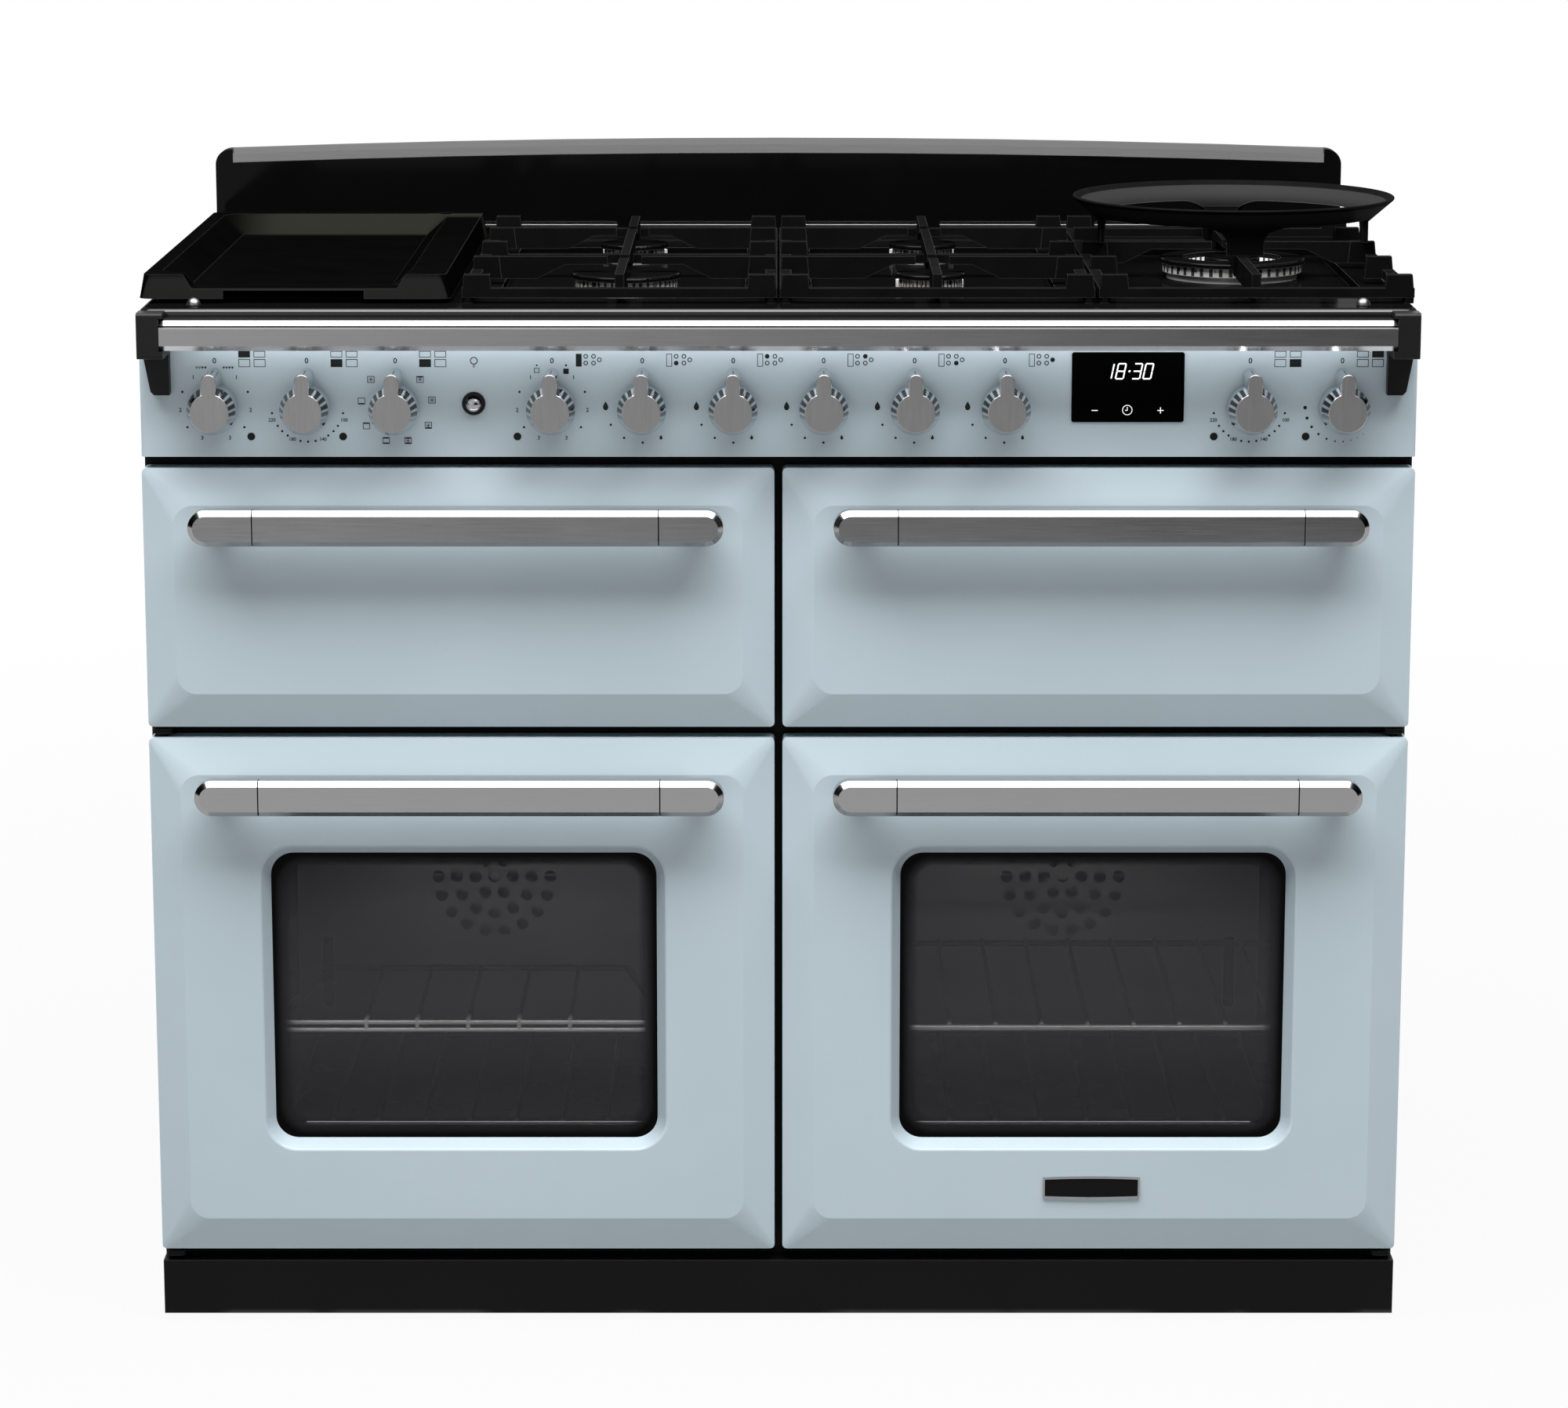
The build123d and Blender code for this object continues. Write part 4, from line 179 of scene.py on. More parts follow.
for card_name, card_at, card_half, card_turn, (left_glow, right_glow) in (
        ("grey_card", (0, -3.9, 1.05), (4.0, 1.05), (math.pi / 2, 0, 0), (1.1, 0.03)),
        ("left_flag", (-2.7, -0.4, 2.1), (1.6, 1.5), (math.pi / 2, 0, math.pi / 2), (0.0, 0.0)),
        ("right_flag", (2.7, -0.4, 2.1), (1.6, 1.5), (math.pi / 2, 0, math.pi / 2), (0.0, 0.0))):
    card, place = new_board(card_name, Matrix.Translation(card_at) @ Euler(card_turn).to_matrix().to_4x4()
                            @ Matrix.Diagonal((*card_half, 1, 1)))
    card.visible_camera = False
    card.visible_diffuse = False
    card.visible_shadow = False
    card.visible_transmission = False
    card_shade = place.along("X").grade(-1.0, 1.0, left_glow, right_glow)
    card_fade = place.along("Z").grade(*CARD_HEIGHTS, CARD_LOW_GLOW, 1.0)
    place.node("ShaderNodeEmission", {}, {"Color": card_shade * card_fade, "Strength": 1.0}).show()

CAMERA_AT, CAMERA_TILT = (0, -4.3082, 1.3915), 0.2033
lens = bpy.data.cameras.new("camera")
lens.sensor_width = 36.0
lens.lens = 109.37
lens.shift_x = 0.00355
lens.clip_start, lens.clip_end = 0.05, 60.0
camera = bpy.data.objects.new("camera", lens)
camera.location = CAMERA_AT
camera.rotation_euler = (math.pi / 2 - CAMERA_TILT, 0, 0)
bpy.context.scene.collection.objects.link(camera)
bpy.context.scene.camera = camera


# The cabinet: folded sheet-steel side panels, front frame and plinth, sprayed satin black. The paint has a
# fine grain, is a little paler on the sides and worn to grey at the foot, and has a painted highlight on
# edges.
FRONT_BLACK = (0.0040, 0.0040, 0.0042), (0.0058, 0.0058, 0.0060)
SIDE_BLACK = (0.0145, 0.0145, 0.0150), (0.0172, 0.0172, 0.0177)
RUB_AND_HIGHLIGHT_GREY = (0.042, 0.042, 0.042)
SIDE_STARTS, FOOT_RUB, EDGE_HIGHLIGHT_WIDTH = (-0.245, -0.225), (0.006, 0.012), 0.0012


def new_finish(name):
    material = bpy.data.materials.new(name)
    material.use_nodes = True
    return material, Shade(material.node_tree).node("ShaderNodeTexCoord", {}, {}, "Object")


def grain(place, scale, detail=3.0, stretch=(1, 1, 1)):
    spread = place.node("ShaderNodeMapping", {}, {"Vector": place, "Scale": stretch})
    return place.node("ShaderNodeTexNoise", {}, {"Vector": spread, "Scale": scale, "Detail": detail})


def blend_colour(share, first, second):
    """The first colour where the share is 0 and the second where it is 1."""
    first, second = (value if isinstance(value, Shade) else (*value, 1) for value in (first, second))
    return share.node("ShaderNodeMix", {"data_type": "RGBA"}, {0: share, 6: first, 7: second}, 2)


def coat(material, **sockets):
    """Sets or links the sockets of a material's shader."""
    shader = material.node_tree.nodes["Principled BSDF"]
    for name, value in sockets.items():
        socket = shader.inputs[name.replace("_", " ")]
        if isinstance(value, Shade):
            material.node_tree.links.new(value.socket, socket)
        elif isinstance(value, tuple):
            socket.default_value = (*value, 1)
        else:
            socket.default_value = value


def bumped(height, strength, distance):
    return height.node("ShaderNodeBump", {}, {"Height": height, "Strength": strength, "Distance": distance})


def sharp_edges(place, width):
    """1 along the outer and inner edges of a piece, as wide as given, and 0 on its flats."""
    soft = place.node("ShaderNodeBevel", {"samples": 4}, {"Radius": width})
    flat = place.node("ShaderNodeNewGeometry", {}, {}, "Normal")
    alike = place.node("ShaderNodeVectorMath", {"operation": "DOT_PRODUCT"}, {0: soft, 1: flat}, "Value")
    return (1 - alike).rise(0.02, 0.16)


def dress(material, *names):
    for name in names:
        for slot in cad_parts[name].material_slots:
            slot.material = material


black_paint, place = new_finish("black_paint")
speckle = grain(place, 900, 4)
cloud = grain(place, 9, 3)
front_black = blend_colour(cloud, *FRONT_BLACK)
side_black = blend_colour(cloud.rise(0.3, 0.7), *SIDE_BLACK)
paint = blend_colour(place.along("Y").rise(*SIDE_STARTS), front_black, side_black)
rub_and_edge_highlight = (1 - place.along("Z").rise(*FOOT_RUB)) * cloud.rise(0.45, 0.6)
# A painted grey highlight along the edges joins the wear at the foot.
rub_and_edge_highlight = rub_and_edge_highlight.most(0.8 * sharp_edges(place, EDGE_HIGHLIGHT_WIDTH))
coat(black_paint, Base_Color=blend_colour(rub_and_edge_highlight, paint, RUB_AND_HIGHLIGHT_GREY),
     Roughness=0.34 + 0.14 * speckle, Specular_IOR_Level=0.06, Normal=bumped(speckle, 0.12, 0.0004))
dress(black_paint, "side_panels", "front_frame", "plinth", "hinge_brackets")


# The back panel, the base tray and the runner rails: zinc-plated sheet with its soft spangle, pressed and
# folded, and screwed or welded to the sides.
ZINC_GREY = (0.36, 0.37, 0.38), (0.60, 0.61, 0.62)
plated_sheet, place = new_finish("plated_sheet")
spangle = place.node("ShaderNodeTexVoronoi", {}, {"Vector": place, "Scale": 55.0}, "Color")
spangle_grey = place.node("ShaderNodeRGBToBW", {}, {"Color": spangle})
streak = grain(place, 30, 4, (1, 1, 0.2))
coat(plated_sheet, Metallic=1.0, Base_Color=blend_colour(0.6 * spangle_grey + 0.4 * streak, *ZINC_GREY),
     Roughness=0.32 + 0.2 * streak, Normal=bumped(spangle_grey, 0.05, 0.0003))
dress(plated_sheet, "back_panel", "base_tray", "runner_rails")


# The screws of the back panel: zinc-plated hexagon heads on a pressed washer, driven into the side panels
# and the base every 15 to 20 cm. Washer and head are given as radius, taper, height, sides and foot.
SCREW_STEPS = (0.0052, 0.0005, 0.0008, 20, 0.0), (0.0034, 0.0003, 0.0024, 6, 0.0007)
SIDE_SCREW_X, SIDE_SCREW_LOW, SIDE_SCREW_STEP = 0.534, 0.10, 0.155
FOOT_SCREW_Z, FOOT_SCREW_STEP = 0.072, 0.18
PANEL_T = 0.0012


def new_piece(name, draft, body, *materials):
    mesh = bpy.data.meshes.new(name)
    draft.to_mesh(mesh)
    draft.free()
    for material in materials:
        mesh.materials.append(material)
    piece = bpy.data.objects.new(name, mesh)
    bpy.context.scene.collection.objects.link(piece)
    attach(piece, body)


back_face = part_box("back_panel")[0].y + PANEL_T
screw_places = [(side * SIDE_SCREW_X, SIDE_SCREW_LOW + SIDE_SCREW_STEP * i)
                for side in (-1, 1) for i in range(6)]
screw_places += [(FOOT_SCREW_STEP * i, FOOT_SCREW_Z) for i in range(-2, 3)]
draft = bmesh.new()
for screw_x, screw_z in screw_places:
    stand = Matrix.Translation((screw_x, back_face, screw_z)) @ Matrix.Rotation(-math.pi / 2, 4, "X")
    for radius, taper, height, sides, foot in SCREW_STEPS:
        bmesh.ops.create_cone(draft, cap_ends=True, segments=sides, radius1=radius, radius2=radius - taper,
                              depth=height, matrix=stand @ Matrix.Translation((0, 0, foot + height / 2)))
new_piece("back_screws", draft, "cabinet", plated_sheet)


# The feet: dark nylon pads moulded on their studs, with a fine pimpled skin. They screw into the base tray
# and level the cooker.
NYLON_BLACK = (0.012, 0.012, 0.012), (0.022, 0.022, 0.022)
foot_plastic, place = new_finish("foot_plastic")
pimple = grain(place, 1400, 2)
coat(foot_plastic, Base_Color=blend_colour(grain(place, 60), *NYLON_BLACK),
     Roughness=0.55 + 0.15 * pimple, Normal=bumped(pimple, 0.2, 0.0004))
dress(foot_plastic, "levelling_feet")


# The ovens, the upper chambers and the inner door panels: pressed steel under grey-black vitreous
# enamel with its small pale flecks, slightly wavy from the firing.
ENAMEL_GREY, FLECK_GREY = ((0.020, 0.020, 0.022), (0.030, 0.030, 0.033)), (0.16, 0.16, 0.165)


def flecked_enamel(place, wave):
    spots = place.node("ShaderNodeTexVoronoi", {}, {"Vector": place, "Scale": 420.0}, "Distance")
    fleck = (1 - spots.rise(0.12, 0.26)) * grain(place, 190, 1).rise(0.5, 0.62)
    return blend_colour(fleck, blend_colour(wave, *ENAMEL_GREY), FLECK_GREY)


oven_enamel, place = new_finish("oven_enamel")
wave = grain(place, 22, 2)
coat(oven_enamel, Base_Color=flecked_enamel(place, wave),
     Roughness=0.2 + 0.12 * wave, Normal=bumped(wave, 0.06, 0.002))
dress(oven_enamel, "oven_liners", "upper_chambers", "door_liner_left", "door_liner_right")


# The oven shelves and the door rack: round steel wire, welded and chromium plated. Drawn wire keeps faint
# rings from the die and is browned a little by heat; inside the ovens it is painted near black as shade.
WIRE_BRIGHT, WIRE_SHADE_DARK = ((0.90, 0.90, 0.91), (0.82, 0.80, 0.77)), (0.05, 0.048, 0.045)
WIRE_SHADE_STARTS, OVEN_ROOF = (-0.235, -0.215), (0.55, 0.56)
steel_wire, place = new_finish("steel_wire")
draw_line = grain(place, 260, 3)
browned = blend_colour(grain(place, 14, 2).rise(0.4, 0.7), *WIRE_BRIGHT)
# Painted shade: wire inside the ovens, behind the front and below the grill chamber, is darkened.
oven_shade = place.along("Y").rise(*WIRE_SHADE_STARTS) * (1 - place.along("Z").rise(*OVEN_ROOF))
coat(steel_wire, Metallic=0.55 + 0.45 * oven_shade, Base_Color=blend_colour(oven_shade, browned, WIRE_SHADE_DARK),
     Roughness=0.34 + 0.14 * draw_line, Normal=bumped(draw_line, 0.08, 0.0002))
dress(steel_wire, "door_rack", "oven_racks")


# The grill: a plated sliding frame carries a pressed pan under the ovens' flecked enamel, and a loose
# trivet of chromium-plated wire stands in the pan.
TRIVET_CHROME = (0.34, 0.34, 0.35), (0.46, 0.46, 0.47)
PAN_MIDDLE, PAN_HALF_W, PAN_HALF_D, PAN_H = (-0.27425, -0.060), 0.2075, 0.177, 0.021
TRIVET_IN, TRIVET_FOOT = (-0.009, -0.008), (0.0035, 0.0045)
grill_tray, place = new_finish("grill_tray")
from_pan_foot = place.along("Z") - (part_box("grill_carriage")[1].z - PAN_H)
past_side = abs(place.along("X") - PAN_MIDDLE[0]) - PAN_HALF_W
past_wall = past_side.most(abs(place.along("Y") - PAN_MIDDLE[1]) - PAN_HALF_D)
in_pan = (1 - past_wall.rise(0.0005, 0.0015)) * from_pan_foot.rise(-0.0003, 0.0)
on_trivet = (1 - past_wall.rise(*TRIVET_IN)) * from_pan_foot.rise(*TRIVET_FOOT)
plated = 1 - in_pan * (1 - on_trivet)
wave = grain(place, 22, 2)
draw_line = grain(place, 260, 3)
coat(grill_tray, Metallic=plated,
     Base_Color=blend_colour(plated, flecked_enamel(place, wave), blend_colour(draw_line, *TRIVET_CHROME)),
     Roughness=0.22 + 0.12 * wave + 0.06 * draw_line, Normal=bumped(wave, 0.06, 0.002))
dress(grill_tray, "grill_carriage")


# The fans, the fan units and the drawer box: plain stainless sheet with the mill's fine straight grain.
# The pieces are stamped, folded and spot welded.
SHEET_GREY = (0.42, 0.42, 0.43), (0.60, 0.60, 0.61)
steel_sheet, place = new_finish("steel_sheet")
mill_grain = grain(place, 120, 4, (0.08, 1.0, 1.0))
smear = grain(place, 12, 3)
coat(steel_sheet, Metallic=1.0, Base_Color=blend_colour(0.5 * mill_grain + 0.5 * smear, *SHEET_GREY),
     Roughness=0.26 + 0.2 * mill_grain, Normal=bumped(mill_grain, 0.1, 0.0002))
dress(steel_sheet, "oven_fan_left", "oven_fan_right", "drawer_box", "fan_units")


# The grill element: a sheathed heater bent to loops and clipped under the roof of its chamber. Its steel
# is oxidised dark, with brown temper colours.
ELEMENT_BROWN = (0.055, 0.045, 0.038), (0.13, 0.115, 0.105)
element_steel, place = new_finish("element_steel")
scale_skin = grain(place, 160, 4)
coat(element_steel, Metallic=0.8, Base_Color=blend_colour(scale_skin, *ELEMENT_BROWN),
     Roughness=0.45 + 0.2 * scale_skin, Normal=bumped(scale_skin, 0.2, 0.0003))
dress(element_steel, "grill_element")


# The doors, the two upper fronts and the fascia: deep-drawn steel under pale blue vitreous enamel.
# The glaze is smooth, with a very faint orange peel and a slight drift of tone from the firing.
PALE_BLUE = (0.385, 0.462, 0.505), (0.405, 0.482, 0.530)
blue_enamel, place = new_finish("blue_enamel")
tone = grain(place, 5, 3)
peel = grain(place, 420, 2)
dust = grain(place, 1500, 2)
coat(blue_enamel, Base_Color=blend_colour(tone.rise(0.3, 0.7), *PALE_BLUE),
     Roughness=0.27 + 0.07 * tone + 0.04 * dust, Specular_IOR_Level=0.35, Coat_Weight=0.12,
     Coat_Roughness=0.12, Normal=bumped(peel, 0.025, 0.0006))
dress(blue_enamel, "oven_door_left", "oven_door_right", "grill_front", "drawer_front", "fascia")


# The oven windows: two panes of tempered glass behind a rolled rim, smoked against the heat, with painted
# shade towards the foot. A black printed band round each pane, widened by painted shade from the rim, fades
# into its clear middle.
SMOKE_GREY, LOW_SHADE_GREY = ((0.058, 0.057, 0.063), (0.067, 0.066, 0.072)), (0.038, 0.038, 0.041)
BORDER_PRINT_AND_SHADE = (0.0010, 0.0010, 0.0010)
DOOR_MIDDLE_X, PANE_MIDDLE_Z = 0.27425, 0.2985
PANE_HALF_W, PANE_HALF_H, PANE_CORNER, PANE_T = 0.168, 0.129, 0.030, 0.004
BORDER_FADE, LOW_SHADE_FADE, BETWEEN_PANES = (0.011, 0.029), (0.19, 0.30), (-0.266, -0.262)
dark_glass, place = new_finish("dark_glass")
up = place.along("Z")
past_x = (abs(abs(place.along("X")) - DOOR_MIDDLE_X) - (PANE_HALF_W - PANE_CORNER)).most(0.0)
past_z = (abs(up - PANE_MIDDLE_Z) - (PANE_HALF_H - PANE_CORNER)).most(0.0)
# A printed black band, widened by painted shade from the rolled rim.
border_print_and_shade = past_x.reach(past_z).rise(*BORDER_FADE)
inner_pane = place.along("Y").rise(*BETWEEN_PANES)
haze = grain(place, 26, 3)
# Painted shade: the glass is darker towards the foot.
smoke_and_low_shade = blend_colour(up.rise(*LOW_SHADE_FADE), LOW_SHADE_GREY, blend_colour(haze, *SMOKE_GREY))
coat(dark_glass, Base_Color=blend_colour(border_print_and_shade, smoke_and_low_shade, BORDER_PRINT_AND_SHADE),
     Roughness=0.05 + 0.05 * haze, Specular_IOR_Level=0.03, Alpha=border_print_and_shade.most(0.34 - 0.28 * inner_pane))
dress(dark_glass, "door_glass_left", "door_glass_right")


# The wire at the foot of each window: thin bright steel, clipped behind the outer pane, which it keeps
# off the inner one. It catches the light as one fine line.
PANE_STEEL = (0.66, 0.66, 0.67), (0.80, 0.80, 0.81)
WIRE_X0, WIRE_X1, WIRE_Z, WIRE_R = 0.112, 0.416, 0.182, 0.0006
pane_steel, place = new_finish("pane_steel")
draw_line = grain(place, 300, 3, (0.05, 1.0, 1.0))
coat(pane_steel, Metallic=0.2, Base_Color=blend_colour(draw_line, *PANE_STEEL),
     Roughness=0.30 + 0.15 * draw_line, Normal=bumped(draw_line, 0.05, 0.0002))
for side, hand in ((-1, "left"), (1, "right")):
    wire_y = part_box("door_glass_" + hand)[0].y + PANE_T + 2 * WIRE_R
    lie_across = (Matrix.Translation((side * (WIRE_X0 + WIRE_X1) / 2, wire_y, WIRE_Z))
                  @ Matrix.Rotation(math.pi / 2, 4, "Y"))
    draft = bmesh.new()
    bmesh.ops.create_cone(draft, cap_ends=True, segments=10, radius1=WIRE_R, radius2=WIRE_R,
                          depth=WIRE_X1 - WIRE_X0, matrix=lie_across)
    new_piece("pane_wire_" + hand, draft, hand + "_door", pane_steel)


# The handles and the handrail: stainless steel, ground along its length and then satin polished. A fine
# joint shows where each handle's cast end meets the drawn bar. The rail's slope is bright between a painted
# dark reflection along its top and painted shade for a groove, over a painted dark shoulder and a painted
# highlight on its foot.
DRAWN_STEEL, FOOT_HIGHLIGHT_STEEL = ((0.27, 0.27, 0.275), (0.34, 0.34, 0.345)), (0.60, 0.60, 0.61)
JOINT_AND_SHOULDER_DARK, PAINTED_RAIL_DARK = (0.03, 0.03, 0.03), (0.002, 0.002, 0.002)
HANDLE_JOINT, JOINT_HALF = 0.1725, (0.0003, 0.0006)
RAIL_STARTS, RAIL_FOOT, RAIL_EDGE = (0.80, 0.81), (0.0043, 0.0047), (0.0015, 0.0019)
GROOVE_AT, GROOVE_HALF = 0.0062, (0.0005, 0.0008)
SHOULDER_STARTS, SHOULDER_ENDS = (0.0062, 0.0066), (0.0079, 0.0081)
brushed_steel, place = new_finish("brushed_steel")
up = place.along("Z")
ground = grain(place, 700, 4, (0.03, 1.0, 1.0))
touch = grain(place, 16, 3)
on_rail = up.rise(*RAIL_STARTS)
off_joint = abs(abs(abs(place.along("X")) - DOOR_MIDDLE_X) - HANDLE_JOINT)
joint = (1 - on_rail) * (1 - off_joint.rise(*JOINT_HALF))
# Painted highlight on the rail's foot.
rail_foot_highlight = on_rail * (1 - (up - rail_low.z).rise(*RAIL_FOOT))
below_top = rail_high.z - up
# Painted dark reflection along the top of the rail, and painted shade for a groove under it.
dark_top_reflection = 1 - below_top.rise(*RAIL_EDGE)
groove_shade = on_rail * (1 - abs(below_top - GROOVE_AT).rise(*GROOVE_HALF))
# Painted dark reflection on the rail's shoulder.
dark_shoulder_reflection = below_top.rise(*SHOULDER_STARTS) * (1 - below_top.rise(*SHOULDER_ENDS))
steel = blend_colour(rail_foot_highlight, blend_colour(0.6 * ground + 0.4 * touch, *DRAWN_STEEL), FOOT_HIGHLIGHT_STEEL)
steel = blend_colour(joint.most(dark_shoulder_reflection), steel, JOINT_AND_SHOULDER_DARK)
coat(brushed_steel, Metallic=1.0, Base_Color=blend_colour(dark_top_reflection.most(groove_shade), steel, PAINTED_RAIL_DARK),
     Roughness=0.11 + 0.07 * ground + 0.04 * touch + 0.06 * on_rail, Normal=bumped(ground, 0.04, 0.0002))
dress(brushed_steel, "oven_handle_left", "oven_handle_right", "grill_handle", "drawer_handle", "handrail")


# The nameplate on the right oven door: a small pressed plate with bowed long edges, a satin rim and a
# plain sunk black middle. Two pins at its back hold it in the door skin.
RIM_GREY = (0.24, 0.24, 0.25), (0.34, 0.34, 0.35)
PLATE_BLACK = (0.004, 0.004, 0.0042), (0.009, 0.009, 0.0092)
PLATE_W, PLATE_H, PLATE_BOW, PLATE_T = 85.0, 18.4, 1.0, 2.0
PLATE_RIM, PLATE_STEP, PLATE_SUNK = 1.5, 0.3, 0.6
PLATE_X, PLATE_Z, FIELD_Y = 275.5, 127.0, -0.284


def stand_up(draft, y):
    """Takes a flat drawing in millimetres to metres and turns it upright, facing the front at y."""
    bmesh.ops.scale(draft, vec=(0.001, 0.001, 0.001), verts=draft.verts[:])
    bmesh.ops.rotate(draft, cent=(0, 0, 0), matrix=Matrix.Rotation(math.pi / 2, 3, "X"), verts=draft.verts[:])
    bmesh.ops.translate(draft, vec=(0, y, 0), verts=draft.verts[:])


draft = bmesh.new()
bmesh.ops.create_grid(draft, x_segments=16, y_segments=1, size=0.5)
for vert in draft.verts:
    bow = PLATE_BOW * (1 - 4 * vert.co.x ** 2)
    vert.co.y = vert.co.y * (PLATE_H + 2 * bow) + PLATE_Z
    vert.co.x = vert.co.x * PLATE_W + PLATE_X
raised = bmesh.ops.extrude_face_region(draft, geom=draft.faces[:])["geom"]
raised_verts = [part for part in raised if isinstance(part, bmesh.types.BMVert)]
bmesh.ops.translate(draft, vec=(0, 0, PLATE_T), verts=raised_verts)
field = [part for part in raised if isinstance(part, bmesh.types.BMFace)]
bmesh.ops.inset_region(draft, faces=field, thickness=PLATE_RIM, use_even_offset=True)
bmesh.ops.inset_region(draft, faces=field, thickness=PLATE_STEP, depth=-PLATE_SUNK, use_even_offset=True)
for face in field:
    face.material_index = 1
bmesh.ops.recalc_face_normals(draft, faces=draft.faces[:])
stand_up(draft, FIELD_Y)
plate_rim, place = new_finish("plate_rim")
rubbing = grain(place, 600, 3, (0.1, 1.0, 1.0))
coat(plate_rim, Metallic=1.0, Base_Color=blend_colour(rubbing, *RIM_GREY),
     Roughness=0.28 + 0.12 * rubbing, Normal=bumped(rubbing, 0.05, 0.0002))
plate_black, place = new_finish("plate_black")
stipple = grain(place, 2200, 2)
coat(plate_black, Base_Color=blend_colour(stipple, *PLATE_BLACK),
     Roughness=0.35 + 0.2 * stipple, Specular_IOR_Level=0.03, Normal=bumped(stipple, 0.15, 0.0002))
new_piece("door_nameplate", draft, "right_door", plate_rim, plate_black)


# The hob tray, the upstand and the burner caps: pressed steel under glossy black enamel, with a painted
# grey highlight on their edges, stronger on top, and a faint painted highlight on the front lip. Two chromed
# dome nuts hold the tray down behind its front lip.
GLAZE_BLACK, LIP_HIGHLIGHT_BLACK = ((0.0012, 0.0012, 0.0013), (0.0024, 0.0024, 0.0025)), (0.0085, 0.0085, 0.0086)
EDGE_HIGHLIGHT_GREY, NUT_CHROME = (0.06, 0.06, 0.06), (0.17, 0.17, 0.175)
LIP_ENDS, GLAZE_HIGHLIGHT_WIDTH, RAISED_HIGHLIGHT = (-0.3022, -0.2995), 0.0009, (0.9040, 0.9055)
NUT_X, NUT_Y, NUT_R, NUT_FOOT = 0.497, -0.274, (0.0060, 0.0062), (0.9050, 0.9055)
black_enamel, place = new_finish("black_enamel")
deep = place.along("Y")
up = place.along("Z")
glaze = grain(place, 8, 3)
pinhole = grain(place, 1100, 2)
# Painted highlight: the front lip is a little paler, and it is glossier.
front_lip = 1 - deep.rise(*LIP_ENDS)
from_nut = (abs(place.along("X")) - NUT_X).reach(deep - NUT_Y)
dome_nut = (1 - from_nut.rise(*NUT_R)) * up.rise(*NUT_FOOT)
# Painted grey highlight along edges, stronger on the raised ones.
edge_highlight = sharp_edges(place, GLAZE_HIGHLIGHT_WIDTH) * (0.35 + 0.65 * up.rise(*RAISED_HIGHLIGHT))
enamel = blend_colour(front_lip, blend_colour(glaze, *GLAZE_BLACK), LIP_HIGHLIGHT_BLACK)
enamel = blend_colour(edge_highlight, enamel, EDGE_HIGHLIGHT_GREY)
coat(black_enamel, Base_Color=blend_colour(dome_nut, enamel, NUT_CHROME), Metallic=dome_nut,
     Roughness=0.30 + 0.08 * glaze + 0.04 * pinhole, Specular_IOR_Level=0.0,
     Coat_Weight=0.12 + 0.6 * front_lip, Coat_Roughness=0.08, Normal=bumped(pinhole, 0.02, 0.0004))
dress(black_enamel, "hob_tray", "splashback", "burner_caps")


# The trim along the top of the upstand: a drawn aluminium strip, anodised a satin mid-grey, with painted
# shade on its upper side, and clipped on.
TRIM_GREY, TRIM_TOP_SHADE = ((0.125, 0.125, 0.127), (0.15, 0.15, 0.152)), (0.055, 0.055, 0.056)
trim_satin, place = new_finish("trim_satin")
drawn = grain(place, 500, 3, (0.05, 1.0, 1.0))
# Painted shade: faces that point up are darkened.
top_shade_share = place.node("ShaderNodeNewGeometry", {}, {}, "Normal").along("Z").rise(0.1, 0.6)
strip_grey = blend_colour(drawn, *TRIM_GREY)
coat(trim_satin, Metallic=0.2, Base_Color=blend_colour(top_shade_share, strip_grey, TRIM_TOP_SHADE),
     Roughness=0.48 + 0.12 * drawn, Specular_IOR_Level=0.05, Normal=bumped(drawn, 0.04, 0.0002))
dress(trim_satin, "splashback_trim")


# The vent at the foot of the upstand: two thin louvre blades behind each of its six slots, folded from
# one grey steel strip and spot welded inside the upstand.
LOUVRE_GREY = (0.20, 0.20, 0.20), (0.30, 0.30, 0.30)
VENTS, VENT_STEP, VENT_Y, VENT_Z = 6, 0.150, 0.3104, 0.915
BLADE_SIZE, BLADE_RISE, BLADE_TILT, BLADE_EDGE = (0.144, 0.003, 0.0008), 0.0013, math.radians(-24), 0.0002
draft = bmesh.new()
for i in range(VENTS):
    for rise in (-BLADE_RISE, BLADE_RISE):
        vent_at = ((i - (VENTS - 1) / 2) * VENT_STEP, VENT_Y, VENT_Z + rise)
        bmesh.ops.create_cube(draft, size=1.0, matrix=Matrix.Translation(vent_at)
                              @ Matrix.Rotation(BLADE_TILT, 4, "X") @ Matrix.Diagonal((*BLADE_SIZE, 1)))
bmesh.ops.bevel(draft, geom=draft.edges[:], offset=BLADE_EDGE, affect="EDGES", segments=2, profile=0.5,
                material=-1)
louvre_grey, place = new_finish("louvre_grey")
mill_grain = grain(place, 300, 3, (0.1, 1.0, 1.0))
coat(louvre_grey, Metallic=0.6, Base_Color=blend_colour(mill_grain, *LOUVRE_GREY),
     Roughness=0.35 + 0.15 * mill_grain, Normal=bumped(mill_grain, 0.06, 0.0002))
new_piece("vent_louvres", draft, "cabinet", louvre_grey)


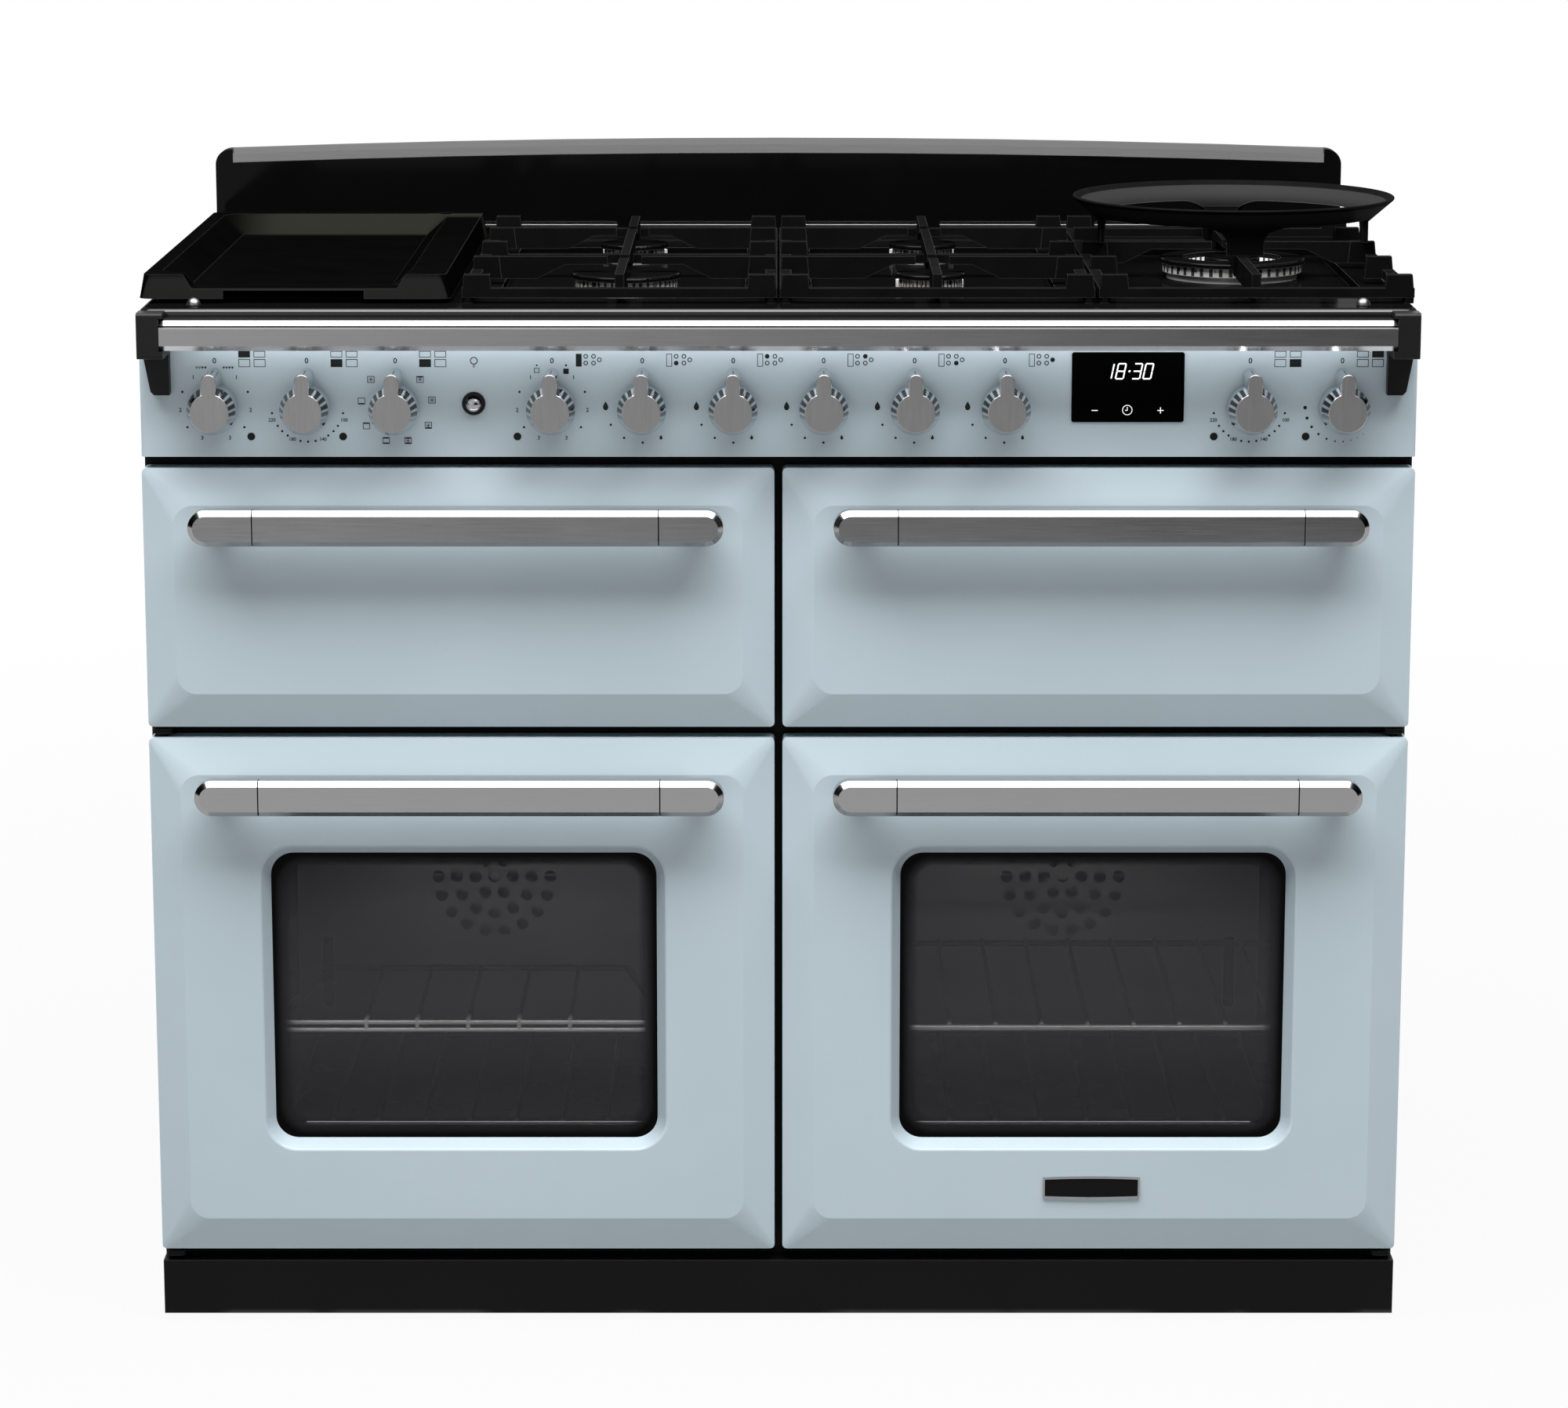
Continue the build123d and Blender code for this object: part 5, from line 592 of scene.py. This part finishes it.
# The pan supports and the wok ring: sand-cast iron, blasted and sprayed with matt black enamel. The skin
# keeps the sand's texture; edges carry a painted grey highlight, stronger on top, and the ring's slope a
# painted sheen.
IRON_BLACK, RING_SHEEN_GREY = ((0.0026, 0.0026, 0.0026), (0.0050, 0.0050, 0.0049)), (0.020, 0.020, 0.020)
IRON_HIGHLIGHT_GREY, IRON_HIGHLIGHT_WIDTH = (0.050, 0.050, 0.050), 0.0010
RING_STARTS, RING_FOOT, RING_RIM, UPPER_HIGHLIGHT = (0.20, 0.21), (0.950, 0.965), (0.0035, 0.0045), (0.965, 0.970)
cast_iron, place = new_finish("cast_iron")
up = place.along("Z")
sand = grain(place, 900, 5)
blotch = grain(place, 40, 3)
below_rim = (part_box("wok_ring")[1].z - up).rise(*RING_RIM)
# Painted sheen on the wok ring's slope.
ring_sheen = place.along("X").rise(*RING_STARTS) * up.rise(*RING_FOOT) * below_rim
# Painted grey highlight along edges, stronger on the upper ones.
edge_highlight = sharp_edges(place, IRON_HIGHLIGHT_WIDTH) * (0.6 + 0.4 * up.rise(*UPPER_HIGHLIGHT))
iron = blend_colour(ring_sheen, blend_colour(blotch, *IRON_BLACK), RING_SHEEN_GREY)
coat(cast_iron, Base_Color=blend_colour(edge_highlight, iron, IRON_HIGHLIGHT_GREY),
     Roughness=0.34 + 0.18 * sand + 0.08 * blotch, Specular_IOR_Level=0.0,
     Coat_Weight=0.014 + 0.012 * blotch, Coat_Roughness=0.22, Normal=bumped(sand, 0.25, 0.0004))
dress(cast_iron, "pan_supports", "wok_ring")


# The griddle: the same cast iron, ground on its floor and seasoned with oil. Its rear wall carries a painted
# brown reflection, its edges a painted grey highlight, and its front rim is a lighter grey.
SEASONED_BLACK, WALL_REFLECTION_BROWN = ((0.0006, 0.0006, 0.0006), (0.0013, 0.0013, 0.0013)), (0.0108, 0.0107, 0.0086)
FRONT_RIM_GREY, GRIDDLE_HIGHLIGHT_GREY, GRIDDLE_HIGHLIGHT_WIDTH = (0.0100, 0.0100, 0.0098), (0.022, 0.022, 0.021), 0.0012
WALL_STARTS, WALL_ENDS, WALL_LEFT = (0.205, 0.236), (0.2492, 0.2500), (-0.530, -0.470)
RIM_DEPTH = (0.0030, 0.0045)
griddle_iron, place = new_finish("griddle_iron")
deep = place.along("Y")
sand = grain(place, 900, 5)
blotch = grain(place, 26, 3)
# Painted reflection: the rear wall is tinted brown.
rear_wall_reflection = deep.rise(*WALL_STARTS) * (1 - deep.rise(*WALL_ENDS)) * place.along("X").rise(*WALL_LEFT)
front_rim = 1 - (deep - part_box("griddle_plate")[0].y).rise(*RIM_DEPTH)
iron = blend_colour(rear_wall_reflection, blend_colour(blotch, *SEASONED_BLACK), WALL_REFLECTION_BROWN)
iron = blend_colour(front_rim, iron, FRONT_RIM_GREY)
# Painted grey highlight along edges.
coat(griddle_iron, Base_Color=blend_colour(sharp_edges(place, GRIDDLE_HIGHLIGHT_WIDTH), iron, GRIDDLE_HIGHLIGHT_GREY),
     Roughness=0.30 + 0.16 * sand + 0.08 * blotch, Specular_IOR_Level=0.0,
     Coat_Weight=0.001 + 0.003 * blotch, Coat_Roughness=0.2, Normal=bumped(sand, 0.2, 0.0004))
dress(griddle_iron, "griddle_plate")


# The burner cups and heads: die-cast aluminium, turned on the seat of the cap and toothed with ports,
# with painted shade in the gaps between the teeth. Flames stain it straw and brown round the teeth.
CAST_BRIGHT, PORT_SHADE_DARK = ((0.80, 0.80, 0.80), (0.62, 0.58, 0.52)), (0.05, 0.047, 0.045)
WOK_STARTS, WOK_X, WOK_Y = (0.30, 0.31), 0.411, 0.002
BURNER_X, BURNER_Y, BURNER_ROW = 0.134, 0.0005, 0.1215
PORTS, PORT_FOOT = 44, (0.9045, 0.9050)
burner_aluminium, place = new_finish("burner_aluminium")
across = place.along("X")
deep = place.along("Y")
cast_skin = grain(place, 500, 4)
stained = blend_colour(grain(place, 45, 3).rise(0.45, 0.75), *CAST_BRIGHT)
on_wok = across.rise(*WOK_STARTS)
from_x = on_wok * (across - WOK_X) + (1 - on_wok) * (abs(across) - BURNER_X)
from_y = on_wok * (deep - WOK_Y) + (1 - on_wok) * (abs(deep - BURNER_Y) - BURNER_ROW)
turn = from_x.maths("ARCTAN2", from_y, from_x)
# Painted shade in the port gaps between the teeth, which are also bumped in.
port_and_shade = (turn * PORTS).sine().rise(0.1, 0.6) * place.along("Z").rise(*PORT_FOOT)
coat(burner_aluminium, Metallic=0.5, Base_Color=blend_colour(port_and_shade, stained, PORT_SHADE_DARK),
     Roughness=0.16 + 0.16 * cast_skin, Normal=bumped(cast_skin - 2.0 * port_and_shade, 0.15, 0.0003))
dress(burner_aluminium, "burner_cups", "burner_heads")


# The spark electrodes and flame probes: steel pins in sleeves of glazed white ceramic, a little sooty,
# pushed up through the burner cups.
CERAMIC_WHITE = (0.62, 0.61, 0.58), (0.30, 0.27, 0.23)
white_ceramic, place = new_finish("white_ceramic")
soot = grain(place, 150, 3)
coat(white_ceramic, Base_Color=blend_colour(soot.rise(0.5, 0.75), *CERAMIC_WHITE),
     Roughness=0.25 + 0.2 * soot, Normal=bumped(soot, 0.05, 0.0003))
dress(white_ceramic, "burner_electrodes")


# The radiant zone under the griddle: a sheet of black glass ceramic with a dimpled underside, bedded in
# the hob tray and smudged by handling.
ZONE_BLACK = (0.002, 0.002, 0.002), (0.005, 0.005, 0.0053)
ceramic_glass, place = new_finish("ceramic_glass")
dimple = place.node("ShaderNodeTexVoronoi", {}, {"Vector": place, "Scale": 300.0}, "Distance")
coat(ceramic_glass, Base_Color=blend_colour(dimple, *ZONE_BLACK),
     Roughness=0.05 + 0.1 * grain(place, 18, 4), Specular_IOR_Level=0.08)
dress(ceramic_glass, "ceramic_zone")


# The black plastic pieces: handrail brackets, lens collars and switch housings, moulded in a
# heat-proof resin with a fine spark-eroded skin.
RESIN_BLACK = (0.0055, 0.0055, 0.0058), (0.0085, 0.0085, 0.009)
black_plastic, place = new_finish("black_plastic")
spark = grain(place, 1600, 2)
coat(black_plastic, Base_Color=blend_colour(grain(place, 35, 2), *RESIN_BLACK),
     Roughness=0.30 + 0.16 * spark, Specular_IOR_Level=0.12, Normal=bumped(spark, 0.12, 0.0003))
dress(black_plastic, "handrail_brackets", "fascia_fittings", "control_switches")


# The dial marks: black ceramic ink, screen printed on the fascia and fired with the enamel. Figures,
# dots and flames run round each knob, and small plans show which oven, element or burner it turns.
# They are drawn flat in millimetres, from the middle of each knob.
INK_BLACK = (0.003, 0.004, 0.005), (0.008, 0.010, 0.011)
INK_Y, INK_LINE, INK_DOT = -0.27512, 0.8, 1.05
DIAL_X = (-480.5, -402.0, -326.5, -193.0, -116.0, -38.5, 38.5, 116.0, 193.0, 402.0, 480.5)
DIAL_Z, DIAL_R = 820.0, 31.0
ZERO_RISE, ZERO_H, STEP_H, HEAT_H, FLAME_TIP = 38.7, 4.8, 3.5, 3.1, 1.6


def open_middle(draft, made, line):
    """Leaves an outline of the given line width of a flat shape."""
    if line:
        middle = made["verts"][0].link_faces[0]
        bmesh.ops.inset_individual(draft, faces=[middle], thickness=line)
        bmesh.ops.delete(draft, geom=[middle], context="FACES_ONLY")


def ink_block(draft, x, z, width, height, line=None):
    block_at = Matrix.Translation((x, z, 0)) @ Matrix.Diagonal((width, height, 1, 1))
    made = bmesh.ops.create_grid(draft, x_segments=1, y_segments=1, size=0.5, matrix=block_at)
    open_middle(draft, made, line)


def ink_disc(draft, x, z, radius, line=None, segments=18):
    made = bmesh.ops.create_circle(draft, cap_ends=True, segments=segments, radius=radius,
                                   matrix=Matrix.Translation((x, z, 0)))
    open_middle(draft, made, line)


def ink_flame(draft, x, z, width, height):
    """A disc whose upper half is drawn up to a point."""
    made = bmesh.ops.create_circle(draft, cap_ends=True, segments=16, radius=1.0)
    for vert in made["verts"]:
        if vert.co.y > 0:
            vert.co.x *= 1 - vert.co.y ** 1.5
            vert.co.y *= FLAME_TIP
    size_up = (Matrix.Diagonal((width / 2, height / (1 + FLAME_TIP), 1, 1))
               @ Matrix.Translation((0, (1 - FLAME_TIP) / 2, 0)))
    bmesh.ops.transform(draft, matrix=Matrix.Translation((x, z, 0)) @ size_up, verts=made["verts"])


def ink_words(draft, words, x, z, height):
    letters = bpy.data.curves.new("ink_words", "FONT")
    letters.body = words
    letters.resolution_u = 4
    letters.offset = 0.02
    holder = bpy.data.objects.new("ink_words", letters)
    bpy.context.scene.collection.objects.link(holder)
    flat = bpy.data.meshes.new_from_object(holder)
    across = [vert.co.x for vert in flat.vertices]
    upward = [vert.co.y for vert in flat.vertices]
    to_middle = Matrix.Translation((-(max(across) + min(across)) / 2, -(max(upward) + min(upward)) / 2, 0))
    size_up = Matrix.Scale(height / (max(upward) - min(upward)), 4)
    flat.transform(Matrix.Translation((x, z, 0)) @ size_up @ to_middle)
    draft.from_mesh(flat)
    bpy.data.objects.remove(holder)
    bpy.data.curves.remove(letters)
    bpy.data.meshes.remove(flat)


def ink_ring(draft, knob, dots):
    """Dots round a knob, each with its degrees clockwise from the top and its radius."""
    for turn, radius in dots:
        ink_disc(draft, DIAL_X[knob] + DIAL_R * math.sin(math.radians(turn)),
                 DIAL_Z + DIAL_R * math.cos(math.radians(turn)), radius)


draft = bmesh.new()
for dial in DIAL_X:
    ink_words(draft, "0", dial, DIAL_Z + ZERO_RISE, ZERO_H)

# Oven plans beside the grill, oven and drawer knobs: two columns of two cells, as the fronts stand. The
# one that is meant is filled.
CELL_W, CELL_ROWS = 10.0, ((44.2, 5.6), (36.6, 6.8))
for knob, columns, filled in ((0, (25.5, 38.5), (0, 0)), (1, (25.5, 38.5), (0, 1)), (2, (25.5, 38.5), (0, 1)),
                              (9, (25.5, 38.5), (1, 1)), (10, (17.25, 30.1), (1, 0))):
    for column, cell_x in enumerate(columns):
        for row, (cell_z, cell_h) in enumerate(CELL_ROWS):
            ink_block(draft, DIAL_X[knob] + cell_x, DIAL_Z + cell_z, CELL_W, cell_h,
                      None if (column, row) == filled else INK_LINE)

# Grill and griddle steps: figures 1 to 3 with dots between, the same on both sides. Small marks over the
# knob stand for half and whole grill, or half and whole griddle.
for knob in (0, 3):
    for side in (-1, 1):
        for words, step_x, step_z in (("1", 18.4, 24.5), ("2", 30.0, -3.6), ("3", 11.8, -27.5)):
            ink_words(draft, words, DIAL_X[knob] + side * step_x, DIAL_Z + step_z, STEP_H)
        for dot_x, dot_z in ((27.9, 11.9), (24.3, -18.5)):
            ink_disc(draft, DIAL_X[knob] + side * dot_x, DIAL_Z + dot_z, INK_DOT)
HEAT_TIP_R, HEAT_TIP_STEP, HEAT_TIP_Z = 1.45, 2.45, 32.9
for i in range(4):
    for start, line in ((-15.2, INK_LINE if i < 2 else None), (7.9, None)):
        tip_at = Matrix.Translation((DIAL_X[0] + start + HEAT_TIP_STEP * i, DIAL_Z + HEAT_TIP_Z, 0))
        made = bmesh.ops.create_circle(draft, cap_ends=True, segments=3, radius=HEAT_TIP_R,
                                       matrix=tip_at @ Matrix.Rotation(math.pi, 4, "Z"))
        open_middle(draft, made, line)
HALF_MARK_W, HALF_DOT_Z = 4.6, 34.7
for dot_x, dot_r, block_x, block_z, block_h, line in ((-12.9, 0.8, -13.0, 30.3, 4.2, INK_LINE),
                                                      (12.0, 0.9, 12.0, 29.6, 4.6, None)):
    ink_disc(draft, DIAL_X[3] + dot_x, DIAL_Z + HALF_DOT_Z, dot_r)
    ink_block(draft, DIAL_X[3] + block_x, DIAL_Z + block_z, HALF_MARK_W, block_h, line)

# Oven heat: four figures in degrees with the dots between them, the same at both oven knobs. The dots
# lie on the dial's circle.
HEAT_TURNS = (102, -102, 124, -124, 135, -135, 146, -146, 168, -168, 180)
for knob in (1, 9):
    for words, step_x, step_z in (("220", -30.5, -12.2), ("100", 31.5, -12.2), ("180", -13.0, -28.8),
                                  ("140", 13.2, -28.8)):
        ink_words(draft, words, DIAL_X[knob] + step_x, DIAL_Z + step_z, HEAT_H)
    ink_ring(draft, knob, [(turn, 1.0) for turn in HEAT_TURNS])

# Oven functions: a small oven front round the function knob for each, with its fan, roof heat or base
# heat drawn inside.
FRONT_MARK, FAN_HUB_R, FAN_RING_R, FAN_LINE = (6.2, 5.8), 1.0, 1.7, 0.3
HEAT_BAR, HEAT_BAR_RISE = (4.6, 0.7), 2.0
for mark_x, mark_z, fan, roof, base in ((-21.0, 22.6, 1, 0, 0), (21.0, 22.6, 1, 1, 0), (-29.3, 4.0, 0, 0, 1),
                                        (30.9, 4.9, 1, 0, 0), (-25.4, -17.3, 0, 1, 0), (27.5, -16.9, 1, 0, 1),
                                        (-8.8, -30.0, 0, 1, 1), (10.0, -30.0, 1, 1, 1)):
    mark_x += DIAL_X[2]
    mark_z += DIAL_Z
    ink_block(draft, mark_x, mark_z, *FRONT_MARK, INK_LINE)
    if fan:
        ink_disc(draft, mark_x, mark_z, FAN_HUB_R, None, 4)
        ink_disc(draft, mark_x, mark_z, FAN_RING_R, FAN_LINE, 14)
    for heated, bar_rise in ((roof, HEAT_BAR_RISE), (base, -HEAT_BAR_RISE)):
        if heated:
            ink_block(draft, mark_x, mark_z + bar_rise, *HEAT_BAR)

# Hob plans: the griddle as a block and the five burners as rings, with the one that is meant filled. The
# gas knobs have a large and a small flame with dots between.
PLAN_GRIDDLE, PLAN_BURNER_R = (22.9, 39.1, 5.0, 11.0), 2.0
PLAN_BURNERS = (28.9, 36.6), (28.9, 42.4), (35.5, 42.4), (35.5, 36.6), (40.5, 39.4)
GAS_FLAMES = (-31.5, 0.0, 4.7, 8.0), (15.6, -27.1, 2.7, 4.3)
GAS_DOTS = (-27.2, -16.4), (-15.9, -27.7), (0.0, -31.8)
for meant, knob in enumerate((3, 4, 5, 6, 7, 8)):
    plan_x = DIAL_X[knob]
    block_x, block_z, block_w, block_h = PLAN_GRIDDLE
    ink_block(draft, plan_x + block_x, DIAL_Z + block_z, block_w, block_h, None if meant == 0 else INK_LINE)
    for spot, (spot_x, spot_z) in enumerate(PLAN_BURNERS, 1):
        ink_disc(draft, plan_x + spot_x, DIAL_Z + spot_z, PLAN_BURNER_R, None if meant == spot else INK_LINE)
    if meant:
        for flame_x, flame_z, flame_w, flame_h in GAS_FLAMES:
            ink_flame(draft, plan_x + flame_x, DIAL_Z + flame_z, flame_w, flame_h)
        for dot_x, dot_z in GAS_DOTS:
            ink_disc(draft, plan_x + dot_x, DIAL_Z + dot_z, INK_DOT)

# The drawer's dots shrink as it gets cooler, and a lamp bulb with its cap stands over the lamp button,
# drawn as a ring on three short lines.
ink_ring(draft, 10, ((-93, 1.6), (-110, 1.36), (-126, 1.2), (-142, 1.072), (-157, 0.936), (-171, 0.8),
                     (176, 0.672), (164, 0.536), (153, 0.472), (142, 0.4)))
BULB_X, BULB_Z, BULB_R, CAP_LINE = -259.5, 858.6, 3.3, 0.4
ink_disc(draft, BULB_X, BULB_Z, BULB_R, INK_LINE, 24)
for cap_z, cap_w in ((854.6, 2.2), (853.8, 2.0), (853.0, 1.4)):
    ink_block(draft, BULB_X, cap_z, cap_w, CAP_LINE)

draft.normal_update()
bmesh.ops.reverse_faces(draft, faces=[face for face in draft.faces if face.normal.z < 0])
stand_up(draft, INK_Y)
dial_ink, place = new_finish("dial_ink")
screen_mesh = grain(place, 1800, 2)
coat(dial_ink, Base_Color=blend_colour(screen_mesh, *INK_BLACK),
     Roughness=0.35 + 0.15 * screen_mesh, Specular_IOR_Level=0.2)
new_piece("dial_marks", draft, "cabinet", dial_ink)


# The knobs: die-cast zinc, bright chromium plated, with a fluted nose between the collar and the flat
# face, which is brushed to a satin grey with its pointer. The nose's upper half is painted dark as a
# reflection, with painted highlight stripes on its flutes. Each is pushed on a flatted spindle.
KNOBS = ("knob_grill", "knob_oven_left", "knob_function", "knob_griddle", "knob_gas_front_left",
         "knob_gas_rear_left", "knob_gas_rear_right", "knob_gas_front_right", "knob_gas_wok",
         "knob_oven_right", "knob_drawer")
KNOB_CHROME, NOSE_DARK_REFLECTION, FLUTE_HIGHLIGHT = (0.52, 0.55, 0.57), (0.03, 0.03, 0.033), (0.86, 0.86, 0.87)
KNOB_SATIN = (0.23, 0.226, 0.226), (0.29, 0.286, 0.286)
KNOB_FACE_Y, KNOB_COLLAR_Y, NOSE_R, FLUTES = -0.323, -0.307, (0.0205, 0.0212), 20
FACE_DEPTH, NOSE_ENDS, UPPER_STARTS = (0.0001, 0.0005), (-0.0012, -0.0004), (-0.011, 0.002)
for knob, dial in zip(KNOBS, DIAL_X):
    knob_metal, place = new_finish(knob + "_metal")
    deep = place.along("Y")
    from_x = place.along("X") - dial / 1000
    from_z = place.along("Z") - DIAL_Z / 1000
    on_face = 1 - (deep - KNOB_FACE_Y).rise(*FACE_DEPTH)
    on_nose = (1 - (deep - KNOB_COLLAR_Y).rise(*NOSE_ENDS)) * (1 - from_x.reach(from_z).rise(*NOSE_R))
    # Painted reflection: the upper half of the nose is dark.
    upper_dark_reflection = on_nose * from_z.rise(*UPPER_STARTS)
    turn = from_x.maths("ARCTAN2", from_z, from_x)
    # Painted highlight stripes on the flutes of the upper half, which are also bumped in.
    flute_and_highlight = (turn * FLUTES).sine().rise(-0.1, 0.8) * upper_dark_reflection
    satin = grain(place, 900, 4, (1.0, 1.0, 0.04))
    plating = blend_colour(flute_and_highlight, blend_colour(upper_dark_reflection, KNOB_CHROME, NOSE_DARK_REFLECTION), FLUTE_HIGHLIGHT)
    face_grey = blend_colour(satin, *KNOB_SATIN)
    coat(knob_metal, Metallic=1.0, Base_Color=blend_colour(on_face, plating, face_grey),
         Roughness=0.07 + 0.03 * grain(place, 30, 2) + on_face * (0.26 + 0.08 * satin),
         Normal=bumped(satin * on_face + flute_and_highlight, 0.06, 0.0003))
    dress(knob_metal, knob)


# The lamp button: a domed zinc push-button, chromium plated and polished, that slides in a black collar
# behind the fascia.
BUTTON_CHROME = (0.30, 0.295, 0.31), (0.38, 0.375, 0.39)
chrome, place = new_finish("chrome")
polish = grain(place, 60, 2)
coat(chrome, Metallic=1.0, Base_Color=blend_colour(polish, *BUTTON_CHROME),
     Roughness=0.06 + 0.05 * polish, Normal=bumped(polish, 0.02, 0.0003))
dress(chrome, "lamp_button")


# The clock's window: a pane of black glass let into the fascia, with the lit display close behind it.
# Its face is smooth and a little smudged.
CLOCK_BLACK = (0.0004, 0.0004, 0.0005), (0.0012, 0.0012, 0.0013)
clock_glass, place = new_finish("clock_glass")
smudge = grain(place, 40, 4)
coat(clock_glass, Base_Color=blend_colour(smudge, *CLOCK_BLACK),
     Roughness=0.06 + 0.08 * smudge, Specular_IOR_Level=0.02)
dress(clock_glass, "clock_display")


# The clock's figures: white lit segments, leaning to the right, over three touch marks for less, clock
# and more that glow more weakly. Strokes have their place in a figure in shares of its width and height.
CLOCK_FACE_Y = -0.27608
FIGURE_W, FIGURE_H, FIGURE_Z, FIGURE_LEAN = 6.5, 12.9, 843.3, 0.2
STROKE, STROKE_GAP, COLON_X, COLON_R = 1.2, 0.5, 297.8, 0.9
STROKES = {"a": (0.5, 1.0), "d": (0.5, 0.0), "g": (0.5, 0.5), "b": (1.0, 0.75), "c": (1.0, 0.25),
           "e": (0.0, 0.25), "f": (0.0, 0.75)}
MARK_W, MARK_LINE, MARK_Z, LESS_X, MORE_X = 5.3, 0.75, 816.1, 269.9, 326.0
DIAL_MARK_X, DIAL_MARK_Z, DIAL_MARK_R, HAND_LINE = 297.7, 816.4, 4.4, 0.65


def lit_finish(name, base, dim, bright):
    material, place = new_finish(name)
    coat(material, Base_Color=base, Roughness=0.5, Emission_Strength=1.0,
         Emission_Color=blend_colour(grain(place, 900, 2), dim, bright))
    return material


draft = bmesh.new()
for figure_x, lit in ((277.0, "bc"), (287.2, "abcdefg"), (301.2, "abcdg"), (310.6, "abcdef")):
    for stroke in lit:
        along, rise = STROKES[stroke]
        level = along == 0.5
        ink_block(draft, figure_x + along * FIGURE_W, FIGURE_Z + rise * FIGURE_H,
                  FIGURE_W - STROKE_GAP if level else STROKE, STROKE if level else FIGURE_H / 2 - STROKE_GAP)
ink_disc(draft, COLON_X, FIGURE_Z + 0.5 * FIGURE_H, COLON_R)
for vert in draft.verts:
    vert.co.x += (vert.co.y - FIGURE_Z) * FIGURE_LEAN
stand_up(draft, CLOCK_FACE_Y)
new_piece("clock_figures", draft, "cabinet",
          lit_finish("lit_white", (0.6, 0.6, 0.6), (0.86, 0.88, 0.90), (1.0, 1.0, 1.0)))

draft = bmesh.new()
ink_block(draft, LESS_X, MARK_Z, MARK_W, MARK_LINE)
ink_block(draft, MORE_X, MARK_Z, MARK_W, MARK_LINE)
ink_block(draft, MORE_X, MARK_Z, MARK_LINE, MARK_W)
ink_disc(draft, DIAL_MARK_X, DIAL_MARK_Z, DIAL_MARK_R, HAND_LINE, 32)
ink_block(draft, DIAL_MARK_X, DIAL_MARK_Z + 1.2, HAND_LINE, 3.0)
ink_block(draft, DIAL_MARK_X - 0.8, DIAL_MARK_Z - 0.2, 2.2, HAND_LINE)
stand_up(draft, CLOCK_FACE_Y)
new_piece("clock_touch_marks", draft, "cabinet",
          lit_finish("lit_grey", (0.4, 0.4, 0.4), (0.62, 0.63, 0.64), (0.74, 0.75, 0.76)))


# The gas rail with its taps, feed pipes and inlet: brass, turned and soldered, and dulled by handling.
# It is screwed to the cabinet behind the fascia.
BRASS_YELLOW = (0.62, 0.46, 0.20), (0.36, 0.26, 0.12)
brass, place = new_finish("brass")
tarnish = grain(place, 50, 4)
coat(brass, Metallic=1.0, Base_Color=blend_colour(tarnish.rise(0.35, 0.7), *BRASS_YELLOW),
     Roughness=0.24 + 0.25 * tarnish, Normal=bumped(grain(place, 500, 2), 0.08, 0.0003))
dress(brass, "gas_rail")
